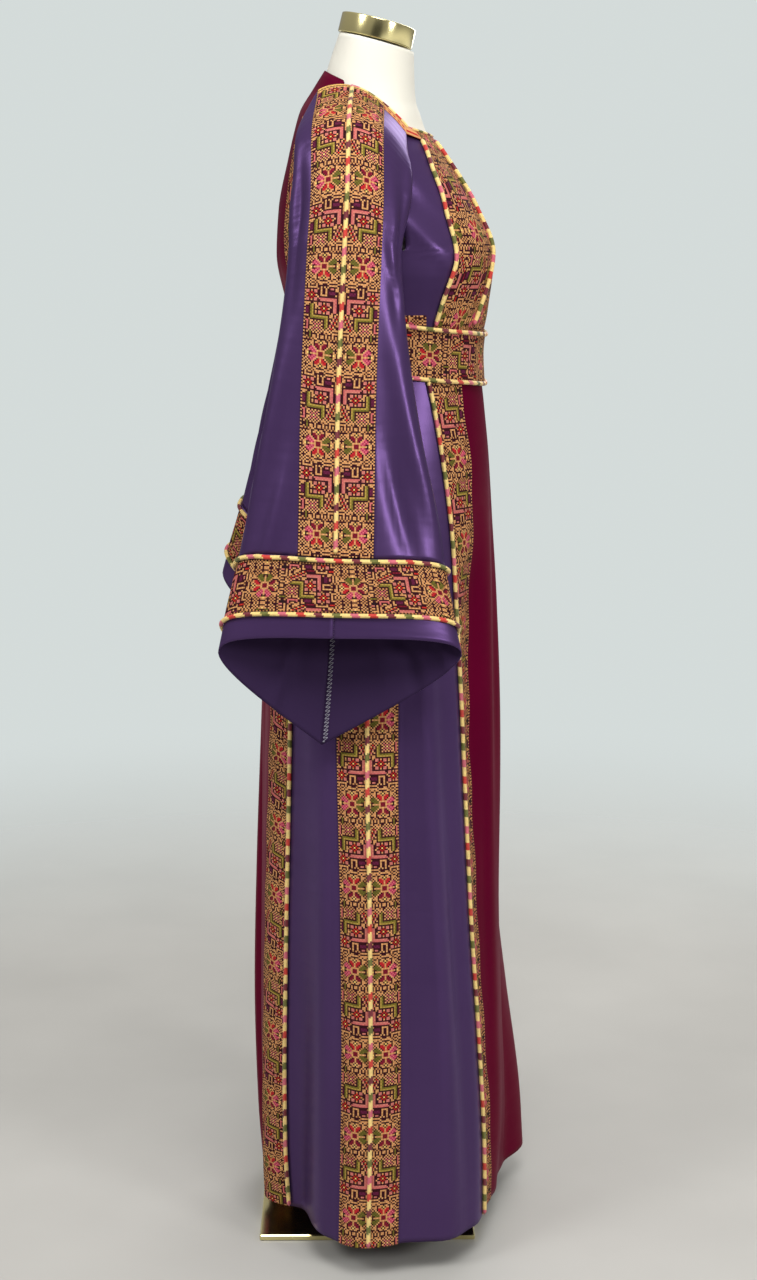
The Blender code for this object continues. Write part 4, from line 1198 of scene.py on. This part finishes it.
def tube_mesh(name, points, normals, radius, closed, sides):
    """A round cord: circles in the plane of the path's normal and the normal of the surface.

    An open cord's ends round off by the square root of the distance, and close on a point.
    """
    if closed:
        points, normals = (np.concatenate([a, a[:1]]) for a in (points, normals))
        ahead, behind = np.roll(points[:-1], -1, axis=0), np.roll(points[:-1], 1, axis=0)
        tangent = ahead - behind
        tangent = np.concatenate([tangent, tangent[:1]])
    else:
        tangent = np.gradient(points, axis=0)
    tangent /= np.linalg.norm(tangent, axis=1, keepdims=True)
    binormal = np.cross(tangent, normals)
    binormal /= np.linalg.norm(binormal, axis=1, keepdims=True)
    normals = np.cross(binormal, tangent)
    run = run_of(points)
    size = np.full(len(points), radius)
    if not closed:
        size = radius * np.sqrt(np.clip(np.minimum(run, run[-1] - run) / radius, 0.0004, 1))
    around = np.linspace(0, 2 * np.pi, sides, endpoint=False)[None, :, None]
    rings = points[:, None] + size[:, None, None] * (
        np.cos(around) * normals[:, None] + np.sin(around) * binormal[:, None])
    uv = np.stack(np.broadcast_arrays(run[:, None], np.linspace(0, 1, sides + 1)[None, :]), axis=-1)
    return grid_mesh(name, rings, wrap=True, flip=True, uv=uv)


def cord(name, points, normals, radius=PIPING_RADIUS, closed=False, look="corded piping", sides=12):
    """A piping along points of the cloth, with its ends closed or joined."""
    mesh = tube_mesh(name, points, normals, radius, closed, sides)
    welded(piece(name, mesh, [finish(look)], "piping"), 0.0001)


def seam_cord(name, side, behind, length, low, high):
    """A piping over a seam of the body, whose place along the cloth is a function of the height."""
    height = np.linspace(low, high, spaced(high - low, PIPING_STEP) + 1)
    angle = angle_at(height, side, length(height), behind)
    cord(name, *body_out(height, angle, PIPING_LIFT))


# ---- operators


class ThobeLooks(bpy.types.PropertyGroup):
    """The sizes and colours of the dress that a user would change."""

    stitch: bpy.props.FloatProperty(
        name="Stitch", description="Side of one cross-stitch", default=0.002, min=0.0018,
        unit="LENGTH", subtype="DISTANCE")
    cloth_step: bpy.props.FloatProperty(
        name="Cloth step", description="Spacing of the points of a plain panel", default=0.0068,
        min=0.004, unit="LENGTH", subtype="DISTANCE")
    crease: bpy.props.FloatProperty(
        name="Creases", description="Depth of the hand-placed creases, 1 as drawn", default=1.0,
        min=0.0, max=1.5, subtype="FACTOR")
    purple: bpy.props.FloatVectorProperty(
        name="Purple satin", description="Colour of the main cloth", size=3,
        default=(0.064, 0.033, 0.104), min=0.0, max=1.0, subtype="COLOR")
    maroon: bpy.props.FloatVectorProperty(
        name="Maroon satin", description="Colour of the centre panels", size=3,
        default=(0.112, 0.0012, 0.021), min=0.0, max=1.0, subtype="COLOR")
    floor: bpy.props.FloatVectorProperty(
        name="Floor", description="Colour of the floor", size=3,
        default=(0.50, 0.49, 0.46), min=0.0, max=1.0, subtype="COLOR")
    light: bpy.props.FloatProperty(
        name="Light", description="Strength of the studio lights, 1 as set", default=1.0,
        min=0.0, subtype="FACTOR")


class ThobeStep:
    """What every operator here shares."""

    bl_options = {"REGISTER", "UNDO"}


class THOBE_OT_front(ThobeStep, bpy.types.Operator):
    """Chest panel, sides of the bodice, and the front of the skirt with its bands"""

    bl_idname = "thobe.front"
    bl_label = "Front"

    def execute(self, context):
        inner, outer = chest("inner"), chest("outer")
        stitched_panel("chest_centre", 0, False, None, lambda h, side: inner(h), WAIST,
                       neckline(0, NECK_CHEST), start=9, wide=True)
        satin_panel("skirt_centre_front", "maroon", 0, False, None,
                    lambda h, side: front_band_edge(h) + TUCK, HEM, level(WAIST))
        for side, end in SIDES:
            stitched_panel(f"chest_side_{end}", side, False, inner, outer, WAIST,
                           neckline(NECK_CHEST, NECK_SIDE), start=38, mirrored=side < 0)
            satin_panel(f"bodice_side_front_{end}", "purple", side, False,
                        lambda h: outer(h) - TUCK, lambda h: side_edge(h, side, False) + TUCK,
                        WAIST, neckline(NECK_SIDE, NECK_END))
            stitched_panel(f"skirt_front_band_{end}", side, False, front_band_edge,
                           lambda h: front_band_edge(h) + BAND_WIDTH, HEM, level(WAIST),
                           start=43, scallop=19, mirrored=side > 0)
            satin_panel(f"skirt_side_front_{end}", "purple", side, False,
                        lambda h: front_band_edge(h) + BAND_WIDTH - TUCK,
                        lambda h: side_edge(h, side, False) + TUCK, HEM, level(WAIST))
        return {"FINISHED"}


class THOBE_OT_side_bands(ThobeStep, bpy.types.Operator):
    """Double embroidered bands down the side seams of the skirt"""

    bl_idname = "thobe.side_bands"
    bl_label = "Side bands"

    def execute(self, context):
        for side, end in SIDES:
            for behind, which in ((False, "front"), (True, "back")):
                mirrored = (side < 0) == behind
                tab = SIDE_BAND if behind else SIDE_TAB
                stitched_panel(
                    f"skirt_side_band_{which}_{end}", side, behind,
                    lambda h: side_length(h, side, behind) - SIDE_BAND,
                    lambda h: side_length(h, side, behind) - HALF_GAP, HEM, level(SIDE_BAND_TOP),
                    start=43, mirrored=mirrored)
                stitched_panel(
                    f"side_tab_{which}_{end}", side, behind,
                    lambda h: side_length(h, side, behind) - tab,
                    lambda h: side_length(h, side, behind) - HALF_GAP, TAB_LOW, level(TAB_TOP),
                    start=7, mirrored=mirrored)
        return {"FINISHED"}


class THOBE_OT_back(ThobeStep, bpy.types.Operator):
    """Maroon back, its bands and the purple sides of the back"""

    bl_idname = "thobe.back"
    bl_label = "Back"

    def execute(self, context):
        satin_panel(
            "back_centre", "maroon", 0, True, None,
            lambda h, side: within_armhole(back_band_edge(h) + TUCK, h, side), HEM,
            lambda share: NECK_BACK - NECK_BACK_DROP * share**2)
        for side, end in SIDES:
            stitched_panel(
                f"back_band_{end}", side, True, back_band_edge,
                lambda h: within_armhole(back_band_edge(h) + BAND_WIDTH, h, side) - HALF_GAP,
                HEM, lambda share: BACK_BAND_TOP - BACK_BAND_SLANT * share,
                start=32, scallop=22, mirrored=side > 0, shorter=0.89)
            satin_panel(
                f"side_back_{end}", "purple", side, True,
                lambda h: back_band_edge(h) + BAND_WIDTH - TUCK,
                lambda h: side_edge(h, side, True) + np.where(h > ARMPIT, 0, TUCK),
                HEM, level(SIDE_BACK_TOP))
        return {"FINISHED"}


class THOBE_OT_belt(ThobeStep, bpy.types.Operator):
    """Embroidered belt over the waist seam, with its two pipings"""

    bl_idname = "thobe.belt"
    bl_label = "Belt"

    def ring(self, angle, offset, lift):
        """Points round the waist, offset from the belt's middle, which dips in front by a cosine.

        Low waves make it lie a little unevenly.
        """
        dip = BELT_TILT * np.maximum(0.0, np.cos(angle)) ** 1.5
        wave = 0.0009 * np.sin(3 * angle + 0.6) + 0.0006 * np.sin(7 * angle)
        return body_out(BELT_MIDDLE - dip + wave + offset, angle, lift)

    def execute(self, context):
        stitch = context.scene.thobe.stitch
        fine = np.linspace(-math.pi, math.pi, BELT_STEPS)
        run = run_of(plain_body(np.full(BELT_STEPS, BELT_MIDDLE), fine))
        around = TILE_LONG * spaced(run[-1], TILE_LONG * stitch)
        across = spaced(2 * BELT_HALF, stitch)
        angle = np.interp(np.arange(around) / around * run[-1], run, fine)[None, :]
        offset = np.linspace(-BELT_HALF, BELT_HALF, across + 1)[:, None]
        bulge = BELT_BULGE * (1 - (offset / BELT_HALF) ** 2)
        points = self.ring(np.broadcast_to(angle, (across + 1, around)), offset, BELT_LIFT + bulge)[0]
        rows, columns = np.indices((across, around))
        threads = chart(-columns, across - 1 - rows, across, start=35)
        stitched_sheet("belt", points, threads, 5, BELT_THICK, wrap=True)
        turn = np.linspace(-math.pi, math.pi, 300, endpoint=False)
        for name, edge in (("belt_piping_upper", 1), ("belt_piping_lower", -1)):
            offset = edge * (BELT_HALF + 0.6 * PIPING_RADIUS)
            cord(name, *self.ring(turn, offset, BELT_LIFT + 0.0022), closed=True)
        return {"FINISHED"}


class THOBE_OT_seam_pipings(ThobeStep, bpy.types.Operator):
    """Pipings down the chest panel and along the bands of the skirt"""

    bl_idname = "thobe.seam_pipings"
    bl_label = "Seam pipings"

    def execute(self, context):
        above = BELT_MIDDLE + BELT_HALF - 0.002
        below = BELT_MIDDLE - BELT_HALF - 0.004
        for side, end in SIDES:
            for which in ("inner", "outer"):
                name = f"chest_piping_{which}_{end}"
                seam_cord(name, side, False, chest(which), above, CHEST_PIPING_TOP)
            for name, behind, length in (
                ("front_band_piping", False, lambda h: front_band_edge(h) + BAND_WIDTH),
                ("side_piping", False, lambda h: side_length(h, side, False)),
                ("back_band_piping", True, lambda h: back_band_edge(h) + BAND_WIDTH),
            ):
                seam_cord(f"{name}_{end}", side, behind, length, HEM, below)
        return {"FINISHED"}


class THOBE_OT_neck_edging(ThobeStep, bpy.types.Operator):
    """Fine cord along the front neckline"""

    bl_idname = "thobe.neck_edging"
    bl_label = "Neck edging"

    def execute(self, context):
        length = np.linspace(0, NECK_END - 0.004, 40)
        height = front_neck(length)
        front, out = body_out(height, angle_at(height, 1, length, False), EDGING_LIFT)
        front = front + np.array([0, 0, EDGING_LIFT])
        place = np.linspace(0.2, SHOULDER_LINE, 40)[None, :]
        over, upward = sleeve_out(1, np.array([0.0]), place, EDGING_LIFT)
        points, normals = np.concatenate([front, over[0]]), np.concatenate([out, upward[0]])
        mirror = np.array([-1, 1, 1])
        points = np.concatenate([points[:0:-1] * mirror, points])
        normals = np.concatenate([normals[:0:-1] * mirror, normals])
        cord("neck_edging", points, normals, EDGING_RADIUS)
        return {"FINISHED"}


class THOBE_OT_neck_strips(ThobeStep, bpy.types.Operator):
    """Narrow strips of border stitches from the sleeve bands along the neckline to the chest"""

    bl_idname = "thobe.neck_strips"
    bl_label = "Neck strips"

    def over_shoulder(self, side, down, stitch):
        """The strip's points on the sleeve's first row, from its band forwards to the armhole."""
        drops = np.linspace(0.03, 0.03 + NECK_STRIP / NECK_ROW, down + 1)
        front = -sleeve_runs(side, drops)[:, SHOULDER]
        across = spaced(float(-SLEEVE_BAND - front[0, 0]), stitch)
        share = np.linspace(0, 1, across + 1)[None, :]
        length = -SLEEVE_BAND + 0.001 + share * (front + 0.002 + SLEEVE_BAND)
        return sleeve_out(side, drops, place_at(side, drops, length), BAND_LIFT + 0.0004)[0]

    def over_bodice(self, side, down, stitch):
        """Its points on the bodice, under the neckline from the armhole to the chest."""
        more = spaced(NECK_END - NECK_SIDE, stitch)
        length = np.linspace(NECK_END - 0.004, NECK_SIDE, more + 1)[None, :]
        height = front_neck(length) - np.linspace(0.0008, NECK_STRIP, down + 1)[:, None]
        lift = np.linspace(LAP + BAND_LIFT, BAND_LIFT, more + 1)[None, :]
        angle = angle_at(height, side, np.broadcast_to(length, height.shape), False)
        return body_out(height, angle, np.broadcast_to(lift, height.shape))[0]

    def execute(self, context):
        stitch = context.scene.thobe.stitch
        down = spaced(NECK_STRIP, stitch)
        beige, ground, red = (LETTERS.index(thread) for thread in "b.r")
        for side, end in SIDES:
            halves = self.over_shoulder(side, down, stitch), self.over_bodice(side, down, stitch)
            points = np.concatenate(halves, axis=1)
            rows, columns = np.indices((down, points.shape[1] - 1))
            edging = np.where((rows + columns) % 2 == 0, beige, ground)
            threads = np.where(rows % 3 == 1, np.where(columns % 4 < 2, red, beige), edging)
            stitched_sheet(f"neck_strip_{end}", points, threads, 3,
                           flip=side > 0)
        return {"FINISHED"}


class THOBE_OT_sleeves(ThobeStep, bpy.types.Operator):
    """Both sleeves: satin front, back and hem, the double bands and their piping"""

    bl_idname = "thobe.sleeves"
    bl_label = "Sleeves"

    def grid(self, side, drops, start, end, across):
        """Places and lengths of a stretch of sleeve, from the front seam backwards."""
        runs = sleeve_runs(side, drops)
        front, back = -runs[:, SHOULDER], runs[:, -1:] - runs[:, SHOULDER]
        first = front if start is None else np.full_like(front, start)
        last = back if end is None else np.full_like(back, end)
        length = first + np.linspace(0, 1, across + 1)[None, :] * (last - first)
        return place_at(side, drops, length), length

    def satin(self, name, side, start, stop, drops, across):
        """A stretch of satin, between two distances from the shoulder line or to a seam."""
        place, length = self.grid(side, drops, start, stop, across)
        points = sleeve_out(side, drops, place, 0.0)[0]
        uv = np.stack([length, np.broadcast_to(drops[:, None] * 0.1, length.shape)], axis=-1)
        satin_sheet(name, "purple", points, uv, flip=side > 0)

    def band(self, name, side, start, stop):
        """A band whose rows of stitches are spaced evenly along the shoulder line."""
        stitch = bpy.context.scene.thobe.stitch
        fine = np.linspace(0, SLEEVE_BAND_END, SLEEVE_STEPS)
        run = run_of(plain_sleeve(side, fine, np.full((SLEEVE_STEPS, 1), SHOULDER_LINE))[:, 0])
        down, across = spaced(run[-1], stitch), spaced(SLEEVE_BAND, stitch)
        drops = np.interp(np.linspace(0, run[-1], down + 1), run, fine)
        points = sleeve_out(side, drops, self.grid(side, drops, start, stop, across)[0], BAND_LIFT)[0]
        rows, columns = np.indices((down, across))
        columns = columns if stop > 0 else columns[:, ::-1]
        threads = chart(rows, columns, across, start=27)
        edging = LETTERS.index("b") + (rows + columns) % 2
        threads = np.where(rows < 4, np.where(rows == 2, LETTERS.index("."), edging), threads)
        stitched_sheet(name, points, threads, 7 + down, flip=side > 0)

    def overlock(self, side, end):
        """The oversewn edge of the underarm seam, inside: thread that swings to and fro by a sine."""
        drops = np.linspace(OVERLOCK_TOP, SLEEVE_HEM - 0.02, OVERLOCK_STEPS)
        turn = np.linspace(0, 2 * math.pi * OVERLOCK_TURNS, OVERLOCK_STEPS)
        length = 0.0015 - sleeve_runs(side, drops)[:, SHOULDER]
        length = length + OVERLOCK_WIDE * (1 + np.sin(turn))[:, None]
        points, normals = sleeve_out(side, drops, place_at(side, drops, length), -0.0012)
        cord(f"underarm_overlock_{end}", points[:, 0], normals[:, 0], OVERLOCK_RADIUS,
             look="overlock thread", sides=5)

    def execute(self, context):
        drops = np.linspace(0, SLEEVE_BAND_END + CUFF_SEAM, 118)
        hem_drops = np.linspace(SLEEVE_BAND_END + CUFF_SEAM, SLEEVE_HEM, 24)
        for side, end in SIDES:
            self.satin(f"sleeve_front_{end}", side, None, -SLEEVE_BAND + TUCK, drops, 36)
            self.satin(f"sleeve_back_{end}", side, SLEEVE_BAND - TUCK, None, drops, 36)
            self.band(f"sleeve_band_front_{end}", side, -SLEEVE_BAND, -HALF_GAP)
            self.band(f"sleeve_band_back_{end}", side, HALF_GAP, SLEEVE_BAND)
            self.satin(f"sleeve_hem_front_{end}", side, None, -HALF_GAP, hem_drops, 56)
            self.satin(f"sleeve_hem_back_{end}", side, HALF_GAP, None, hem_drops, 56)
            self.overlock(side, end)
            along = np.linspace(0.1, CUFF_TOP - 0.12, 200)
            points, normals = sleeve_out(side, along, np.full((200, 1), SHOULDER_LINE), PIPING_LIFT)
            cord(f"sleeve_piping_{end}", points[:, 0], normals[:, 0])
        return {"FINISHED"}


class THOBE_OT_cuffs(ThobeStep, bpy.types.Operator):
    """Embroidered cuff bands, each between two pipings"""

    bl_idname = "thobe.cuffs"
    bl_label = "Cuffs"

    def execute(self, context):
        stitch = context.scene.thobe.stitch
        across = spaced(CUFF_WIDTH, stitch)
        drops = np.linspace(CUFF_TOP, CUFF_BOTTOM, across + 1)
        turn = np.linspace(0, 4, 240, endpoint=False)[None, :]
        for side, end in SIDES:
            runs = sleeve_runs(side, drops)
            front, whole = runs[:, SHOULDER], runs[across // 2, -1]
            around = TILE_LONG * spaced(whole, TILE_LONG * stitch)
            share = np.arange(around)[None, :] / around
            place = place_at(side, drops, share * runs[:, -1:] - front)
            points = sleeve_out(side, drops, place, BAND_LIFT)[0]
            rows, columns = np.indices((across, around))
            shoulder = int(front[across // 2, 0] / whole * around)
            threads = chart(columns, rows, across, start=19 - shoulder)
            stitched_sheet(f"cuff_band_{end}", points, threads, 11, wrap=True, flip=side > 0)
            for which, drop in (("upper", CUFF_TOP - 0.035), ("lower", CUFF_BOTTOM + 0.035)):
                ring, out = sleeve_out(side, np.array([drop]), turn, PIPING_LIFT)
                cord(f"cuff_piping_{which}_{end}", ring[0], out[0], closed=True)
        return {"FINISHED"}


class THOBE_OT_dress_form(ThobeStep, bpy.types.Operator):
    """Torso with its neck, neck cap, pole and base plate"""

    bl_idname = "thobe.dress_form"
    bl_label = "Dress form"

    def torso(self):
        """Superelliptic rings that lean forward towards the neck, closed by shrinking rings.

        Those at the bottom shrink by a sine and those at the top evenly.
        """
        low, high = FORM["height"][0], FORM["height"][-1]
        rings = np.linspace(low + 0.005, high, TORSO_RINGS)
        height = np.concatenate([np.full(TORSO_ENDS, low), rings, np.full(TORSO_ENDS, high)])
        foot, top = np.sin(np.linspace(0, 1.45, TORSO_ENDS)), np.linspace(0.98, 0.0, TORSO_ENDS)
        shrink = np.concatenate([foot, np.ones(TORSO_RINGS), top])
        turn = np.linspace(0, 2 * math.pi, TORSO_SIDES, endpoint=False)[None, :]
        row = {name: read(FORM, name, height)[:, None] for name in FORM}
        depth, power = np.where(np.cos(turn) >= 0, row["front"], row["back"]), row["round"]
        ahead, aside = np.abs(np.cos(turn)) / depth, np.abs(np.sin(turn)) / row["half"]
        radius = (ahead**power + aside**power) ** (-1 / power)
        radius = radius * np.maximum(shrink, 0.001)[:, None]
        forward = radius * np.cos(turn)
        z = height[:, None] - row["lean"] * (forward - CAP_FORWARD)
        points = np.stack([radius * np.sin(turn), -forward, z], axis=-1)
        across = np.linspace(0, 0.8, TORSO_SIDES + 1)[None, :]
        uv = np.stack(np.broadcast_arrays(across, height[:, None]), axis=-1)
        mesh = grid_mesh("form_torso", points, wrap=True, uv=uv)
        welded(piece("form_torso", mesh, [finish("linen")], "form_linen"), 0.0002)

    def turned(self, name, profile, tilt=0.0, centre=(0, 0, 0)):
        """A profile of radius and height turned round an axis that leans forward by tilt."""
        radius, height = np.array(profile)[:, :, None].transpose(1, 0, 2)
        turn = np.linspace(0, 2 * math.pi, 96, endpoint=False)[None, :]
        x, y = radius * np.cos(turn), radius * np.sin(turn)
        z = np.broadcast_to(height, x.shape)
        cosine, sine = math.cos(tilt), math.sin(tilt)
        leaned = np.stack([x, y * cosine - z * sine, y * sine + z * cosine], axis=-1)
        mesh = grid_mesh(name, leaned + np.array(centre), wrap=True)
        mesh.set_sharp_from_angle(angle=math.radians(35))
        welded(piece(name, mesh, [finish("polished gold")], "polished_gold"), 0.0002)

    def cap(self):
        """The neck cap: a disc with its two edges rounded by quarter circles, about its middle."""
        bend = np.linspace(0, math.pi / 2, 7)
        half, rim = CAP_HEIGHT / 2, CAP_RADIUS - CAP_EDGE
        under = zip(rim + CAP_EDGE * np.sin(bend), CAP_EDGE - CAP_EDGE * np.cos(bend))
        over = zip(rim + CAP_EDGE * np.cos(bend), CAP_HEIGHT - CAP_EDGE + CAP_EDGE * np.sin(bend))
        profile = [(AXIS, 0.0), *under, *over, (AXIS, CAP_HEIGHT)]
        profile = [(radius, height - half) for radius, height in profile]
        self.turned("form_neck_cap", profile, CAP_TILT, (0, -CAP_FORWARD, CAP_FOOT + half))

    def pole(self):
        """A plain round pole as long as its solid."""
        low, high = (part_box("form_pole")[i][2] for i in (0, 1))
        heights = (low, low, low + POLE_EDGE, high - POLE_EDGE, high, high)
        radii = (AXIS, *[POLE_RADIUS] * 4, AXIS)
        self.turned("form_pole", list(zip(radii, heights)))

    def execute(self, context):
        self.torso()
        self.cap()
        self.pole()
        plate = bpy.data.objects["form_base_plate"]
        plate.material_slots[0].material = finish("polished gold")
        return {"FINISHED"}


class THOBE_OT_stage(ThobeStep, bpy.types.Operator):
    """Pale floor, soft lights and the camera at the side of the dress"""

    bl_idname = "thobe.stage"
    bl_label = "Stage"

    def floor(self, looks):
        """A round floor that fades into the background away from the dress."""
        rings = np.concatenate([[0.0001], np.linspace(0.05, 3.2, 40)])[::-1, None]
        turn = np.linspace(0, 2 * math.pi, 96, endpoint=False)[None, :]
        points = np.broadcast_arrays(rings * np.cos(turn), rings * np.sin(turn), -0.0002)
        mesh = grid_mesh("studio_floor", np.stack(points, axis=-1), wrap=True)
        made = bpy.data.objects.new("studio_floor", mesh)
        bpy.context.scene.collection.objects.link(made)
        surface, tree, shader, place = started("studio floor", Roughness=0.75, Specular_IOR_Level=0.2)
        colour = np.array(looks.floor)
        clouded(tree, shader, noise(tree, place["Object"], 3.0, 5.0), 0.9 * colour, 1.1 * colour)
        away = node(tree, "ShaderNodeVectorMath", {0: place["Object"]}, operation="LENGTH")
        fade = ranged(tree, away.outputs["Value"], 0.9, 3.0, 1.0, 0.0, interpolation_type="SMOOTHSTEP")
        tree.links.new(fade, shader.inputs["Alpha"])
        mesh.materials.append(surface)

    def surroundings(self):
        """Pale to the camera; to everything else bright above and behind, dim beside the camera.

        A band of glow low down lights the skirt.
        """
        world = bpy.data.worlds.new("Pale studio")
        world.use_nodes = True
        tree = world.node_tree
        direction = node(tree, "ShaderNodeTexCoord").outputs["Generated"]
        axis = node(tree, "ShaderNodeSeparateXYZ", {0: direction})
        seen = node(tree, "ShaderNodeLightPath").outputs["Is Camera Ray"]
        beside = ranged(tree, axis.outputs[0], -0.995, -0.93, 0.10, 1.0, interpolation_type="SMOOTHSTEP")
        above = ranged(tree, axis.outputs[2], -0.4, 0.9, 0.07, 0.54)
        low = maths(tree, "ABSOLUTE", maths(tree, "ADD", axis.outputs[2], 0.19))
        glow = ranged(tree, low, 0.0, 0.16, 0.80, 0.0, interpolation_type="SMOOTHSTEP")
        strength = maths(tree, "MULTIPLY", beside, maths(tree, "ADD", above, glow))
        lit = scaled(tree, (1.0, 0.99, 0.97), strength)
        colour = mixed(tree, seen, lit, (0.66, 0.71, 0.70, 1))
        tree.links.new(colour, tree.nodes["Background"].inputs["Color"])
        return world

    def lamp(self, name, place, size, power):
        """A round soft light that points from its place to the middle of the dress."""
        light = bpy.data.lights.new(name, "AREA")
        light.shape, light.size, light.energy = "DISK", size, power
        holder = bpy.data.objects.new(name, light)
        holder.location = place
        aim = Vector(np.subtract(LAMPS_AIM, place))
        holder.rotation_euler = aim.to_track_quat("-Z", "Y").to_euler()
        bpy.context.scene.collection.objects.link(holder)

    def camera(self):
        """The camera at the right side of the dress, a little above its middle."""
        lens = bpy.data.cameras.new("Side view")
        lens.lens, lens.sensor_width, lens.sensor_fit = 61.875, 36.0, "AUTO"
        camera = bpy.data.objects.new("Side view", lens)
        camera.location = CAMERA
        camera.rotation_euler = (math.pi / 2 - CAMERA_PITCH, 0, -math.pi / 2 - CAMERA_SWING)
        bpy.context.scene.collection.objects.link(camera)
        bpy.context.scene.camera = camera

    def execute(self, context):
        looks = context.scene.thobe
        self.floor(looks)
        context.scene.world = self.surroundings()
        context.scene.view_settings.view_transform = "Standard"
        for name, place, size, power in LAMPS:
            self.lamp(name, place, size, power * looks.light)
        self.camera()
        return {"FINISHED"}


STEPS = (
    THOBE_OT_front, THOBE_OT_side_bands, THOBE_OT_back, THOBE_OT_belt, THOBE_OT_seam_pipings,
    THOBE_OT_neck_edging, THOBE_OT_neck_strips, THOBE_OT_sleeves, THOBE_OT_cuffs,
    THOBE_OT_dress_form, THOBE_OT_stage,
)


class THOBE_PT_panel(bpy.types.Panel):
    """Sizes, colours and steps of the dress, in the sidebar"""

    bl_idname = "THOBE_PT_panel"
    bl_label = "Thobe"
    bl_space_type = "VIEW_3D"
    bl_region_type = "UI"
    bl_category = "Thobe"

    def draw(self, context):
        looks = context.scene.thobe
        for name in ThobeLooks.__annotations__:
            self.layout.prop(looks, name)
        for step in STEPS:
            self.layout.operator(step.bl_idname)


CLASSES = (ThobeLooks, *STEPS, THOBE_PT_panel)


def register():
    """Registers every class and hangs the properties on the scene."""
    for each in CLASSES:
        bpy.utils.register_class(each)
    bpy.types.Scene.thobe = bpy.props.PointerProperty(type=ThobeLooks)


def unregister():
    """Undoes register()."""
    del bpy.types.Scene.thobe
    for each in reversed(CLASSES):
        bpy.utils.unregister_class(each)


def main():
    """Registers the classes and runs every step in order."""
    register()
    for step in STEPS:
        group, name = step.bl_idname.split(".")
        getattr(getattr(bpy.ops, group), name)()


if __name__ == "__main__":
    main()
